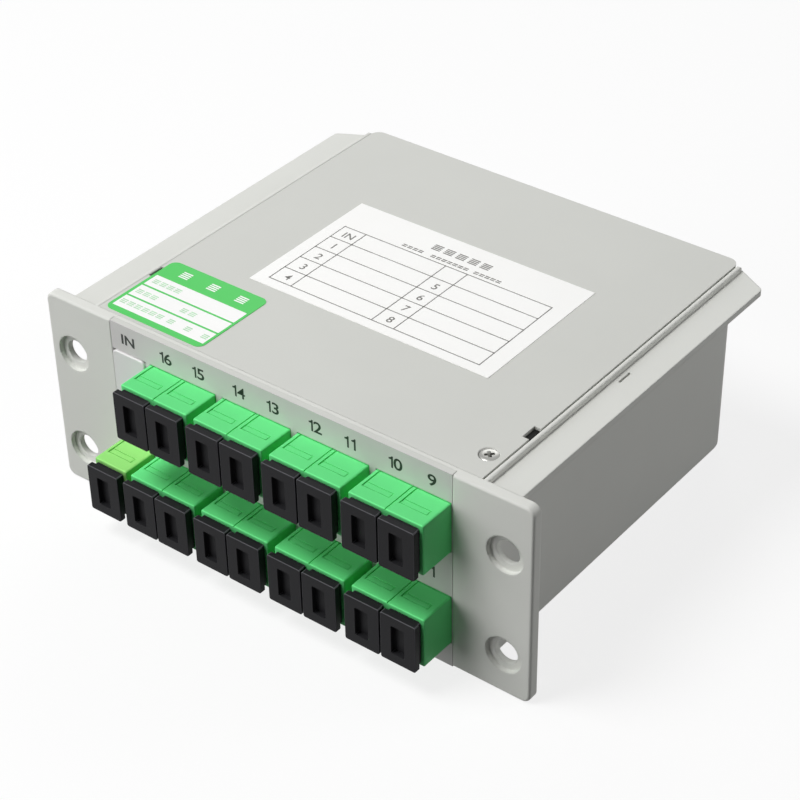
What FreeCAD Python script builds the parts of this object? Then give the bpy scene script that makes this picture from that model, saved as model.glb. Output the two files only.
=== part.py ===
"""Slot-in splitter cassette: one input port, sixteen output ports, moulded box with guide wings.

Millimetres, +Z up. The origin is the middle of the bottom face. The front panel faces -Y, the
box runs back along +Y, and +X is to the right of someone who looks at the front.
"""
import FreeCAD, Part
import os
from math import atan2, cos, pi, sin, sqrt

V = FreeCAD.Vector
os.makedirs("parts", exist_ok=True)

# ---- overall sizes of the cassette -------------------------------------------------------------
PANEL_WIDTH = 130.0          # across both ears
BODY_DEPTH = 100.0           # front of the panel to the back wall
BODY_HEIGHT = 50.0
PANEL_THICK = 2.5
WALL = 2.0                   # side, back and floor
WALL_INSET = 14.7            # panel's end to the outside of a side wall
PANEL_CORNER_R = 2.0
EDGE_ROUND = 0.6             # rolled edge of the moulded panel
BACK_CORNER_R = 2.5          # upright corners at the back
HEEL_R = 4.0                 # bottom edge of the back wall

# ---- mounting ears -----------------------------------------------------------------------------
EAR_HOLE_INSET = 6.7         # panel's end to a hole, sideways
EAR_HOLE_LOW = 10.0          # base to the lower hole
EAR_HOLE_PITCH = 26.0
EAR_HOLE_R = 2.8
EAR_BORE_R = 4.4             # counterbore for the screw's head
EAR_BORE_DEPTH = 1.2

# ---- guide wings and cover ---------------------------------------------------------------------
WING_INSET = 5.2             # panel's end to the outer edge of a wing
WING_DROP = 1.2              # cover's top face down to the wing's top face
WING_THICK = 1.4
WING_LEAD_LONG = 4.2         # slanted lead-in at the back, along the wing
WING_LEAD_WIDE = 7.4         # and across it
WING_BACK_GAP = 1.3          # back wall to the wing's end
WING_CORNER_R = 1.2          # outer corner where the lead-in starts
COVER_OVERHANG = 0.82        # cover's edge beyond the outside of a side wall
COVER_THICK = 1.5
COVER_GAP = 0.16             # seam on each side of a cover that lies in the middle of its seat
COVER_SHIFT = 0.12           # the screws hold the cover this far to the left
COVER_FRONT_GAP = 0.04       # seam in front of the cover
BEAD_WIDE = 1.15             # round-topped bead outside the cover's edge
BEAD_ROUND = 0.4
BEAD_STOP = 0.5              # wing's end to the bead's end
SLIT_AT = 48.75              # release slit in the right wing, from the front to its middle
SLIT_OUT = 1.4               # bead's outer side to the slit's middle
SLIT_LONG = 4.1
SLIT_WIDE = 0.5
LATCH_AT = 20.35             # snap window in the cover's edge, from the front
LATCH_LONG = 4.3
LATCH_WIDE = 1.6
LATCH_DEEP = 0.9
LOCATING_RIB_DEEP = 2.0      # rib under the cover that drops inside the walls
LOCATING_RIB_WIDE = 1.2
HOOK_WIDE = 8.0              # two hooks at the cover's back edge
HOOK_THICK = 1.2
HOOK_TALL = 5.0
HOOK_LIP = 0.7
HOOK_HALF = 30.0             # centre to a hook
FIT = 0.15                   # gap around parts that drop into place

# ---- cover screws ------------------------------------------------------------------------------
SCREW_INSET = 3.5            # cover's edge to a screw
SCREW_AT = 9.6               # from the front
SCREW_HEAD_R = 2.1
SCREW_HEAD_TALL = 1.2
SCREW_SHANK_R = 1.15
SCREW_LONG = 6.0
SCREW_RECESS = 0.6           # drive recess
SCREW_BOSS_R = 3.0
SCREW_BOSS_TALL = 5.2
SCREW_PILOT_FIT = 0.05
SCREW_TIP_GAP = 0.3

# ---- port plate and its film -------------------------------------------------------------------
PLATE_MARGIN = 0.3           # plate beyond the outermost ports
PLATE_THICK = 1.3
PLATE_FIT = 0.12             # plate to the sides of its seat in the panel
FILM_THICK = 0.2
PORT_FIT = 0.1               # adapter to its opening in the plate
ROW_LOW = 12.5               # base to the middle of the lower row
ROW_PITCH = 24.1

# ---- adapters ----------------------------------------------------------------------------------
PORT_WIDE = 9.3              # one port of an adapter, on its narrow side
PORT_TALL = 12.5
PAIR_GAP = 1.9               # between two paired adapters
FIRST_GAP = 1.4              # between the single adapter and the first pair
PAIRS = 4                    # paired adapters in a row
ADAPTER_LONG = 27.4
ADAPTER_OUT = 9.1            # in front of the panel
ADAPTER_EDGE = 0.5
ADAPTER_FLANGE_THICK = 2.0
ADAPTER_FLANGE_OUT = 2.2     # above and below the adapter, behind the panel
PORT_SIDE = 0.9              # wall beside the opening that a connector goes into
PORT_END = 1.7               # wall above and below it
PARTITION = 2.0
HOLDER_R = 2.3               # tube around the alignment sleeve
HOLDER_OUT = 6.2             # from the partition, each way
SLEEVE_R = 1.6               # alignment sleeve that two ferrules meet in
SLEEVE_FIT = 0.01            # sleeve in its holder, and ferrule in the sleeve
SEAM_WIDE = 0.3              # groove between the two halves
SEAM_DEEP = 0.3
RELIEF_INSET = 0.9           # second groove beside each half's left edge
RELIEF_LONG = 6.0
POCKET_WIDE = 6.9            # shallow pocket on the top of each half, from the second groove
POCKET_LONG = 1.65
POCKET_AT = 4.25             # panel to the pocket
POCKET_DEEP = 0.15

# ---- connector, ferrule and boot behind each port -----------------------------------------------
FERRULE_R = 1.25
CONNECTOR_LONG = 21.0
CONNECTOR_FIT = 0.08
CONNECTOR_HOLLOW_GAP = 0.4   # around the holder
CONNECTOR_STOP_GAP = 0.4     # connector's nose to the partition
CONNECTOR_GRIP_STEP = 0.5
CONNECTOR_GRIP_LONG = 8.0
BOOT_R = 2.2
BOOT_TIP_R = 1.0
BOOT_LONG = 12.0
FIBRE_R = 0.45
CORD_SIDES = 6               # sides of what is round but small and repeated
BOOT_SIDES = 8
PIN_SIDES = 8

# ---- dust caps ---------------------------------------------------------------------------------
CAP_INSET = 0.2              # cap's flange inside the port's outline
CAP_THICK = 2.6              # flange and neck
CAP_FLANGE_THICK = 1.4
CAP_NECK_STEP = 0.55         # neck behind the flange, inside its outline
CAP_BEVEL = 0.5
CAP_SEAT_GAP = 0.2           # cap's flange to the adapter's face
CAP_PLUG_FIT = 0.06          # plug to the walls of the opening
CAP_PLUG_LONG = 8.0
CAP_HOLLOW_GAP = 0.5         # around the holder
CAP_HOLLOW_DEEP = 6.8
CAP_PIT_WIDE = 3.2
CAP_PIT_TALL = 6.9
CAP_PIT_DEEP = 1.3

# ---- blanking plug of the unused port ----------------------------------------------------------
BLANK_PROUD = 0.5
BLANK_CORNER_R = 1.2
BLANK_LIP = 0.8              # overlap behind the panel, above and below
BLANK_LIP_THICK = 1.0

# ---- splitter module, its fibres and their spool -----------------------------------------------
MODULE_LONG = 56.0
MODULE_WIDE = 12.0
MODULE_TALL = 4.0
MODULE_WALL = 0.5
MODULE_BACK_GAP = 28.0       # back wall's outside to the module's middle
MODULE_PAD = 0.8             # adhesive pad below it
END_PLUG_LONG = 5.0
CHIP_LONG = 22.0
CHIP_WIDE = 4.5
CHIP_TALL = 2.0
BLOCK_LONG = 6.0
COIL_HALF_X = 44.0           # outside of the wound fibres
COIL_HALF_Y = 22.0
COIL_WIDE = 4.0
COIL_TALL = 6.0
POST_R = 2.0
POST_TALL = 9.0
POST_GAP = 0.3
BUNDLE_R = 1.6

# ---- labels ------------------------------------------------------------------------------------
LABEL_THICK = 0.1
SEAL_INSET = 0.84            # green label on the cover's front left, from the cover's edge
SEAL_WIDE = 27.7
SEAL_AT = 3.3
SEAL_LONG = 22.6
SEAL_CORNER_R = 1.8
TABLE_HALF = 32.3            # white table label
TABLE_AT = 30.4
TABLE_LONG = 39.8

# ---- places worked out from the sizes above ----------------------------------------------------
FRONT = -BODY_DEPTH / 2
BACK = BODY_DEPTH / 2
PANEL_BACK = FRONT + PANEL_THICK
WALL_HALF = PANEL_WIDTH / 2 - WALL_INSET
WING_HALF = PANEL_WIDTH / 2 - WING_INSET
EAR_HOLE_HALF = PANEL_WIDTH / 2 - EAR_HOLE_INSET
COVER_HALF = WALL_HALF + COVER_OVERHANG
SCREW_HALF = COVER_HALF - SCREW_INSET
WING_TOP = BODY_HEIGHT - WING_DROP
WING_BOTTOM = WING_TOP - WING_THICK
COVER_BOTTOM = BODY_HEIGHT - COVER_THICK
BEAD_INNER = COVER_HALF + COVER_GAP
BEAD_OUTER = BEAD_INNER + BEAD_WIDE
INSIDE_HALF = WALL_HALF - WALL
PLATE_FRONT = FRONT + FILM_THICK
PLATE_BACK = PLATE_FRONT + PLATE_THICK
PAIR_WIDE = 2 * PORT_WIDE
FIELD = PORT_WIDE + FIRST_GAP + PAIRS * PAIR_WIDE + (PAIRS - 1) * PAIR_GAP
FIELD_LEFT = -FIELD / 2
PLATE_HALF = FIELD / 2 + PLATE_MARGIN
ROWS = (ROW_LOW, ROW_LOW + ROW_PITCH)
SINGLE_X = FIELD_LEFT + PORT_WIDE / 2
PAIR_X = [FIELD_LEFT + PORT_WIDE + FIRST_GAP + PAIR_WIDE / 2 + k * (PAIR_WIDE + PAIR_GAP)
          for k in range(PAIRS)]
ADAPTER_FRONT = FRONT - ADAPTER_OUT
ADAPTER_BACK = ADAPTER_FRONT + ADAPTER_LONG
ADAPTER_MID = (ADAPTER_FRONT + ADAPTER_BACK) / 2
CAVITY_WIDE = PORT_WIDE - 2 * PORT_SIDE
CAVITY_TALL = PORT_TALL - 2 * PORT_END
HOLDER_FRONT = ADAPTER_MID - PARTITION / 2 - HOLDER_OUT
HOLDER_BACK = ADAPTER_MID + PARTITION / 2 + HOLDER_OUT
CONNECTOR_FLOOR = HOLDER_BACK + CONNECTOR_STOP_GAP
CONNECTOR_NOSE = ADAPTER_MID + PARTITION / 2 + CONNECTOR_STOP_GAP
CONNECTOR_TAIL = CONNECTOR_NOSE + CONNECTOR_LONG
BOOT_TAIL = CONNECTOR_TAIL + BOOT_LONG
MODULE_Y = BACK - MODULE_BACK_GAP
MODULE_Z = WALL + MODULE_PAD
COIL_TOP = WALL + COIL_TALL
COIL_END = COIL_HALF_X - COIL_HALF_Y
COIL_MID_R = COIL_HALF_Y - COIL_WIDE / 2
SCREW_Y = FRONT + SCREW_AT


# ---- small helpers -----------------------------------------------------------------------------
def block(x0, x1, y0, y1, z0, z1):
    """Box between two corners."""
    return Part.makeBox(x1 - x0, y1 - y0, z1 - z0, V(x0, y0, z0))


def rod(radius, start, end):
    """Cylinder from one point to another."""
    axis = V(*end) - V(*start)
    return Part.makeCylinder(radius, axis.Length, V(*start), axis)


def rounded_block(x0, x1, y0, y1, z0, z1, radius, axis):
    """Box with its four edges along one axis ('y' or 'z') rounded."""
    solid = block(x0, x1, y0, y1, z0, z1)
    along = {"y": V(0, 1, 0), "z": V(0, 0, 1)}[axis]
    edges = [e for e in solid.Edges if abs(e.tangentAt(e.FirstParameter).dot(along)) > 0.99]
    return solid.makeFillet(radius, edges)


def edges_on_plane(solid, axis, value):
    """Edges of a solid that lie in the plane axis = value."""
    return [e for e in solid.Edges
            if all(abs(getattr(v.Point, axis) - value) < 1e-6 for v in e.Vertexes)
            and abs(getattr(e.CenterOfMass, axis) - value) < 1e-6]


def extrude(points, direction):
    """Prism over a closed outline."""
    wire = Part.makePolygon([V(*p) for p in points] + [V(*points[0])])
    return Part.Face(wire).extrude(V(*direction))


def mirrored(shape):
    """The same shape on the other side of the middle plane."""
    return shape.mirror(V(0, 0, 0), V(1, 0, 0))


def both_sides(shape):
    return [shape, mirrored(shape)]


def ring(centre, axis, radius, sides):
    """Closed polygon around a point, square to an axis."""
    first = axis.cross(V(0, 0, 1) if abs(axis.z) < 0.9 else V(1, 0, 0)).normalize()
    second = axis.cross(first).normalize()
    turns = [2 * pi * k / sides for k in range(sides + 1)]
    return Part.makePolygon([centre + first * (radius * cos(t)) + second * (radius * sin(t))
                             for t in turns])


def pin(radius, start, end):
    """Plain many-sided pin from one point to another."""
    axis = (V(*end) - V(*start)).normalize()
    return Part.Face(ring(V(*start), axis, radius, PIN_SIDES)).extrude(V(*end) - V(*start))


def cord(radius, edges):
    """Plain cord with a many-sided section, along joined edges."""
    start = edges[0].valueAt(edges[0].FirstParameter)
    axis = edges[0].tangentAt(edges[0].FirstParameter)
    return Part.Wire(edges).makePipeShell([ring(start, axis, radius, CORD_SIDES)], True, False)


def save(name, shape):
    shape.removeSplitter().exportStep("parts/%s.step" % name)


# ---- housing -----------------------------------------------------------------------------------
def front_panel():
    """Panel with its two ears, counterbored holes and the seat for the port plate."""
    half = PANEL_WIDTH / 2
    panel = rounded_block(-half, half, FRONT, PANEL_BACK, 0, BODY_HEIGHT, PANEL_CORNER_R, "y")
    panel = panel.makeFillet(EDGE_ROUND, edges_on_plane(panel, "y", FRONT))
    cuts = [block(-PLATE_HALF - PLATE_FIT, PLATE_HALF + PLATE_FIT, FRONT - 1, PLATE_BACK,
                  -1, BODY_HEIGHT + 1)]
    for z in (EAR_HOLE_LOW, EAR_HOLE_LOW + EAR_HOLE_PITCH):
        for x in (-EAR_HOLE_HALF, EAR_HOLE_HALF):
            cuts.append(rod(EAR_HOLE_R, (x, FRONT - 1, z), (x, PANEL_BACK + 1, z)))
            cuts.append(rod(EAR_BORE_R, (x, FRONT - 1, z), (x, FRONT + EAR_BORE_DEPTH, z)))
    return panel.cut(cuts)


def box_shell():
    """Floor, side walls and back wall, open at the top, with a rounded heel and back corners."""
    plan = rounded_block(-WALL_HALF, WALL_HALF, PANEL_BACK - BODY_DEPTH, BACK, 0, COVER_BOTTOM,
                         BACK_CORNER_R, "z")
    side = block(-WALL_HALF, WALL_HALF, PANEL_BACK, BACK, 0, COVER_BOTTOM)
    heel = [e for e in edges_on_plane(side, "y", BACK) if abs(e.CenterOfMass.z) < 1e-6]
    inside = rounded_block(-INSIDE_HALF, INSIDE_HALF, PANEL_BACK, BACK - WALL, WALL,
                           BODY_HEIGHT + 1, BACK_CORNER_R / 2, "z")
    return side.makeFillet(HEEL_R, heel).common(plan).cut(inside)


def wing():
    """Right guide wing: bead beside the cover, flat flange, slanted lead-in at the back."""
    end = BACK - WING_BACK_GAP
    lead = end - WING_LEAD_LONG
    flange = extrude([(INSIDE_HALF, PANEL_BACK, WING_BOTTOM), (WING_HALF, PANEL_BACK, WING_BOTTOM),
                      (WING_HALF, lead, WING_BOTTOM), (WING_HALF - WING_LEAD_WIDE, end, WING_BOTTOM),
                      (INSIDE_HALF, end, WING_BOTTOM)], (0, 0, WING_THICK))
    corner = V(WING_HALF, lead, (WING_BOTTOM + WING_TOP) / 2)
    flange = flange.makeFillet(WING_CORNER_R, [e for e in flange.Edges
                                               if e.CenterOfMass.distanceToPoint(corner) < 1e-6])
    bead = block(BEAD_INNER, BEAD_OUTER, PANEL_BACK, end - BEAD_STOP, WING_TOP, BODY_HEIGHT)
    bead = bead.makeFillet(BEAD_ROUND, [e for e in edges_on_plane(bead, "z", BODY_HEIGHT)
                                        if e.CenterOfMass.y > PANEL_BACK + 1e-6])
    return flange.fuse(bead)


def release_slit():
    """Slit through the right wing, along the bead."""
    x, y = BEAD_OUTER + SLIT_OUT, FRONT + SLIT_AT
    return block(x - SLIT_WIDE / 2, x + SLIT_WIDE / 2, y - SLIT_LONG / 2, y + SLIT_LONG / 2,
                 WING_BOTTOM - 1, WING_TOP + 1)


def screw_boss():
    """Short column for the right cover screw, joined to the side wall under the cover."""
    low = COVER_BOTTOM - SCREW_BOSS_TALL
    column = rod(SCREW_BOSS_R, (SCREW_HALF, SCREW_Y, low), (SCREW_HALF, SCREW_Y, COVER_BOTTOM))
    return column.common(block(0, INSIDE_HALF + WALL / 2, FRONT, BACK, 0, BODY_HEIGHT))


def port_cuts():
    """Openings for the adapters and the blanking plug, right through plate and panel."""
    tall = PORT_TALL / 2 + PORT_FIT
    cuts = []
    for z in ROWS:
        for x, wide in [(SINGLE_X, PORT_WIDE)] + [(x, PAIR_WIDE) for x in PAIR_X]:
            half = wide / 2 + PORT_FIT
            cuts.append(block(x - half, x + half, FRONT - 1, PANEL_BACK + 1, z - tall, z + tall))
    return cuts


def coil_posts():
    """Pins on the floor that keep the wound fibres in their oval."""
    reach_y = COIL_HALF_Y - COIL_WIDE - POST_GAP - POST_R
    reach_x = COIL_END
    return [rod(POST_R, (sx * reach_x, MODULE_Y + sy * reach_y, WALL / 2),
                (sx * reach_x, MODULE_Y + sy * reach_y, WALL + POST_TALL))
            for sx in (-1, 1) for sy in (-1, 1)]


def housing():
    body = front_panel().fuse([box_shell()] + both_sides(wing()))
    body = body.fuse(both_sides(screw_boss()) + coil_posts())
    seat = block(-BEAD_INNER, BEAD_INNER, PANEL_BACK, BACK + 1, COVER_BOTTOM, BODY_HEIGHT + 1)
    cuts = [seat, release_slit()] + port_cuts()
    for side in (-1, 1):
        pilot_top = (side * SCREW_HALF, SCREW_Y, COVER_BOTTOM + 1)
        pilot_end = (side * SCREW_HALF, SCREW_Y, BODY_HEIGHT - SCREW_LONG - SCREW_TIP_GAP)
        cuts.append(rod(SCREW_SHANK_R + SCREW_PILOT_FIT, pilot_top, pilot_end))
        low, high = sorted((side * (COVER_HALF - LATCH_WIDE), side * COVER_HALF))
        cuts.append(block(low, high, *latch_span(), COVER_BOTTOM - LATCH_DEEP, COVER_BOTTOM + 1))
        hook_x = side * HOOK_HALF
        pocket = HOOK_WIDE / 2 + FIT
        hook_low = COVER_BOTTOM - HOOK_TALL
        cuts.append(block(hook_x - pocket, hook_x + pocket, BACK - WALL - 1,
                          BACK - WALL + HOOK_LIP + FIT, hook_low - FIT,
                          hook_low + HOOK_TALL / 2))
    return body.cut(cuts)


def latch_span():
    middle = FRONT + LATCH_AT
    return middle - LATCH_LONG / 2, middle + LATCH_LONG / 2


# ---- cover and its screws ----------------------------------------------------------------------
def top_cover():
    """Flat plate with snap windows, countersunk holes, locating ribs and back hooks."""
    start = PANEL_BACK + COVER_FRONT_GAP
    plate = block(-COVER_HALF, COVER_HALF, start, BACK, COVER_BOTTOM, BODY_HEIGHT)
    corners = [e for e in plate.Edges
               if abs(e.CenterOfMass.y - BACK) < 1e-6 and abs(e.CenterOfMass.x) > COVER_HALF - 1e-6]
    plate = plate.makeFillet(BACK_CORNER_R, corners)
    rib_out = INSIDE_HALF - FIT
    rib_low = COVER_BOTTOM - LOCATING_RIB_DEEP
    rib_start = SCREW_Y + SCREW_BOSS_R + 2 * WALL
    ribs = [block(rib_out - LOCATING_RIB_WIDE, rib_out, rib_start, BACK - WALL - 3 * WALL,
                  rib_low, COVER_BOTTOM)]
    hook_back = BACK - WALL - FIT
    hook_low = COVER_BOTTOM - HOOK_TALL
    hook = extrude([(HOOK_HALF - HOOK_WIDE / 2, hook_back, COVER_BOTTOM),
                    (HOOK_HALF - HOOK_WIDE / 2, hook_back, hook_low + 2 * HOOK_LIP),
                    (HOOK_HALF - HOOK_WIDE / 2, hook_back + HOOK_LIP, hook_low + HOOK_LIP),
                    (HOOK_HALF - HOOK_WIDE / 2, hook_back, hook_low),
                    (HOOK_HALF - HOOK_WIDE / 2, hook_back - HOOK_THICK, hook_low),
                    (HOOK_HALF - HOOK_WIDE / 2, hook_back - HOOK_THICK, COVER_BOTTOM)],
                   (HOOK_WIDE, 0, 0))
    added = ribs + [hook]
    cover = plate.fuse(added + [mirrored(s) for s in added])
    cuts = []
    for side in (-1, 1):
        low, high = sorted((side * (COVER_HALF - LATCH_WIDE), side * (COVER_HALF + 1)))
        cuts.append(block(low, high, *latch_span(), COVER_BOTTOM - 1, BODY_HEIGHT + 1))
        x = side * SCREW_HALF
        cuts.append(rod(SCREW_SHANK_R + FIT, (x, SCREW_Y, COVER_BOTTOM - 1),
                        (x, SCREW_Y, BODY_HEIGHT + 1)))
        cuts.append(Part.makeCone(SCREW_SHANK_R + FIT, SCREW_HEAD_R + FIT, SCREW_HEAD_TALL,
                                  V(x, SCREW_Y, BODY_HEIGHT - SCREW_HEAD_TALL)))
    return cover.cut(cuts).translated(V(-COVER_SHIFT, 0, 0))


def cover_screws():
    """Two countersunk screws with cross recesses, heads level with the cover."""
    screws = []
    for x in (-SCREW_HALF, SCREW_HALF):
        head = Part.makeCone(SCREW_SHANK_R, SCREW_HEAD_R, SCREW_HEAD_TALL,
                             V(x, SCREW_Y, BODY_HEIGHT - SCREW_HEAD_TALL))
        shank = rod(SCREW_SHANK_R, (x, SCREW_Y, BODY_HEIGHT - SCREW_LONG),
                    (x, SCREW_Y, BODY_HEIGHT - SCREW_HEAD_TALL))
        arm, slot = SCREW_HEAD_R * 0.6, SCREW_HEAD_R * 0.15
        depth = BODY_HEIGHT - SCREW_RECESS
        cross = [block(x - arm, x + arm, SCREW_Y - slot, SCREW_Y + slot, depth, BODY_HEIGHT + 1),
                 block(x - slot, x + slot, SCREW_Y - arm, SCREW_Y + arm, depth, BODY_HEIGHT + 1)]
        screws.append(head.fuse(shank).removeSplitter().cut(cross))
    return Part.makeCompound(screws)


# ---- port plate, film and blanking plug --------------------------------------------------------
def port_plate():
    plate = block(-PLATE_HALF, PLATE_HALF, PLATE_FRONT, PLATE_BACK, 0, BODY_HEIGHT)
    return plate.cut(port_cuts())


def port_film():
    film = block(-PLATE_HALF, PLATE_HALF, FRONT, PLATE_FRONT, 0, BODY_HEIGHT)
    return film.cut(port_cuts())


def blank_plug():
    """Push-in blank for the unused opening at the upper left, with lips behind the panel."""
    x, z = SINGLE_X, ROWS[1]
    half_x, half_z = PORT_WIDE / 2, PORT_TALL / 2
    face = rounded_block(x - half_x, x + half_x, FRONT - BLANK_PROUD,
                         PANEL_BACK + BLANK_LIP_THICK, z - half_z, z + half_z,
                         BLANK_CORNER_R, "y")
    lip = block(x - half_x + BLANK_CORNER_R, x + half_x - BLANK_CORNER_R, PANEL_BACK,
                PANEL_BACK + BLANK_LIP_THICK, z - half_z - BLANK_LIP, z + half_z + BLANK_LIP)
    hollow = block(x - half_x + WALL / 2, x + half_x - WALL / 2, FRONT + WALL / 2,
                   BACK, z - half_z + WALL / 2, z + half_z - WALL / 2)
    return face.fuse(lip).cut(hollow)


# ---- adapters ----------------------------------------------------------------------------------
def port_centres(x_mid, ports):
    return [x_mid + (k - (ports - 1) / 2) * PORT_WIDE for k in range(ports)]


def adapter(x_mid, z_mid, ports):
    """Adapter with one or two ports, set on its narrow side."""
    half_x, half_z = ports * PORT_WIDE / 2, PORT_TALL / 2
    body = block(x_mid - half_x, x_mid + half_x, ADAPTER_FRONT, ADAPTER_BACK,
                 z_mid - half_z, z_mid + half_z)
    body = body.makeChamfer(ADAPTER_EDGE, edges_on_plane(body, "y", ADAPTER_FRONT))
    flange_z = half_z + ADAPTER_FLANGE_OUT
    body = body.fuse(block(x_mid - half_x, x_mid + half_x, PANEL_BACK,
                           PANEL_BACK + ADAPTER_FLANGE_THICK, z_mid - flange_z, z_mid + flange_z))
    cuts, holders = [], []
    top = z_mid + half_z
    part_front, part_back = ADAPTER_MID - PARTITION / 2, ADAPTER_MID + PARTITION / 2
    for x in port_centres(x_mid, ports):
        wide, tall = CAVITY_WIDE / 2, CAVITY_TALL / 2
        cuts.append(block(x - wide, x + wide, ADAPTER_FRONT - 1, part_front,
                          z_mid - tall, z_mid + tall))
        cuts.append(block(x - wide, x + wide, part_back, ADAPTER_BACK + 1,
                          z_mid - tall, z_mid + tall))
        left = x - PORT_WIDE / 2 + RELIEF_INSET
        cuts.append(block(left, left + SEAM_WIDE, FRONT - RELIEF_LONG, FRONT,
                          top - SEAM_DEEP, top + 1))
        cuts.append(block(left, left + POCKET_WIDE, FRONT - POCKET_AT - POCKET_LONG,
                          FRONT - POCKET_AT, top - POCKET_DEEP, top + 1))
        holders.append(pin(HOLDER_R, (x, HOLDER_FRONT, z_mid), (x, HOLDER_BACK, z_mid)))
    if ports == 2:
        cuts.append(block(x_mid - SEAM_WIDE / 2, x_mid + SEAM_WIDE / 2, ADAPTER_FRONT - 1, FRONT,
                          top - SEAM_DEEP, top + 1))
    bores = [pin(SLEEVE_R + SLEEVE_FIT, (x, ADAPTER_FRONT, z_mid), (x, ADAPTER_BACK, z_mid))
             for x in port_centres(x_mid, ports)]
    return body.cut(cuts).fuse(holders).cut(bores)


# ---- what sits inside each port ----------------------------------------------------------------
def sleeve(x, z):
    """Ceramic alignment sleeve, as long as its holder."""
    ends = (x, HOLDER_FRONT, z), (x, HOLDER_BACK, z)
    return pin(SLEEVE_R, *ends).cut(pin(FERRULE_R + SLEEVE_FIT, *ends))


def ferrule(x, z):
    """Ceramic ferrule, from the middle of the adapter to the floor of the connector's nose."""
    return pin(FERRULE_R, (x, ADAPTER_MID, z), (x, CONNECTOR_FLOOR, z))


def connector(x, z):
    """Push-pull connector body: hollow nose around the holder, raised grip at the back."""
    wide, tall = CAVITY_WIDE / 2 - CONNECTOR_FIT, CAVITY_TALL / 2 - CONNECTOR_FIT
    nose = block(x - wide, x + wide, CONNECTOR_NOSE, CONNECTOR_TAIL, z - tall, z + tall)
    wide, tall = wide + CONNECTOR_GRIP_STEP, tall + CONNECTOR_GRIP_STEP
    grip = block(x - wide, x + wide, CONNECTOR_TAIL - CONNECTOR_GRIP_LONG, CONNECTOR_TAIL,
                 z - tall, z + tall)
    half = HOLDER_R + CONNECTOR_HOLLOW_GAP
    hollow = block(x - half, x + half, CONNECTOR_NOSE - 1, CONNECTOR_FLOOR, z - half, z + half)
    return nose.fuse(grip).cut(hollow)


def boot(x, z):
    """Tapered strain relief behind the connector."""
    back = V(0, 1, 0)
    return Part.makeLoft([ring(V(x, CONNECTOR_TAIL, z), back, BOOT_R, BOOT_SIDES),
                          ring(V(x, BOOT_TAIL, z), back, BOOT_TIP_R, BOOT_SIDES)], True, True)


# ---- splitter module ---------------------------------------------------------------------------
def module_case():
    half_x, half_y = MODULE_LONG / 2, MODULE_WIDE / 2
    case = block(-half_x, half_x, MODULE_Y - half_y, MODULE_Y + half_y,
                 MODULE_Z, MODULE_Z + MODULE_TALL)
    edges = [e for e in case.Edges if abs(e.tangentAt(e.FirstParameter).x) > 0.99]
    case = case.makeFillet(MODULE_WALL, edges)
    return case.cut(block(-half_x - 1, half_x + 1, MODULE_Y - half_y + MODULE_WALL,
                          MODULE_Y + half_y - MODULE_WALL, MODULE_Z + MODULE_WALL,
                          MODULE_Z + MODULE_TALL - MODULE_WALL))


def module_end_plug(side):
    """Potting plug that closes one end of the case and holds the fibres."""
    half_y = MODULE_WIDE / 2 - MODULE_WALL
    inner, outer = sorted((side * (MODULE_LONG / 2 - END_PLUG_LONG), side * MODULE_LONG / 2))
    return block(inner, outer, MODULE_Y - half_y, MODULE_Y + half_y, MODULE_Z + MODULE_WALL,
                 MODULE_Z + MODULE_TALL - MODULE_WALL)


def module_inner(x0, x1):
    """Chip or fibre block on the case's floor."""
    return block(x0, x1, MODULE_Y - CHIP_WIDE / 2, MODULE_Y + CHIP_WIDE / 2,
                 MODULE_Z + MODULE_WALL, MODULE_Z + MODULE_WALL + CHIP_TALL)


def module_pad():
    return block(-MODULE_LONG / 3, MODULE_LONG / 3, MODULE_Y - MODULE_WIDE / 3,
                 MODULE_Y + MODULE_WIDE / 3, WALL, MODULE_Z)


# ---- fibres ------------------------------------------------------------------------------------
def oval(half_x, half_y, z0, tall):
    """Upright oval disc around the middle of the module, with half-round ends."""
    disc = block(-half_x, half_x, MODULE_Y - half_y, MODULE_Y + half_y, z0, z0 + tall)
    edges = [e for e in disc.Edges if abs(e.tangentAt(e.FirstParameter).z) > 0.99]
    return disc.makeFillet(half_y - 1e-3, edges)


def wound_coil():
    outer = oval(COIL_HALF_X, COIL_HALF_Y, WALL, COIL_TALL)
    inner = oval(COIL_HALF_X - COIL_WIDE, COIL_HALF_Y - COIL_WIDE, WALL - 1, COIL_TALL + 2)
    return outer.cut(inner)


def pigtail(x, z, y_end):
    """Output fibre from a boot, straight back and then down on to the coil."""
    drop = z - COIL_TOP
    bend = min(drop, y_end - BOOT_TAIL) * 0.9
    turn, low = V(x, y_end - bend, z), V(x, y_end, z - bend)
    mid = V(x, turn.y + bend * sin(pi / 4), z - bend * (1 - cos(pi / 4)))
    edges = [Part.makeLine(V(x, BOOT_TAIL, z), turn), Part.Arc(turn, mid, low).toShape(),
             Part.makeLine(low, V(x, y_end, COIL_TOP - FIBRE_R))]
    return cord(FIBRE_R, edges)


def bundle():
    """Ribbon of output fibres, from the splitter in one bend into the right end of the coil."""
    z = MODULE_Z + MODULE_TALL / 2
    ahead = MODULE_LONG / 2 - COIL_END
    bend = (COIL_MID_R ** 2 - ahead ** 2) / (2 * COIL_MID_R)
    middle = V(MODULE_LONG / 2, MODULE_Y + bend, z)
    meet = atan2(bend, ahead)
    spots = [middle + V(cos(t), sin(t), 0) * bend
             for t in (-pi / 2, (meet - pi / 2) / 2, meet)]
    return cord(BUNDLE_R, [Part.Arc(*spots).toShape()])


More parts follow.
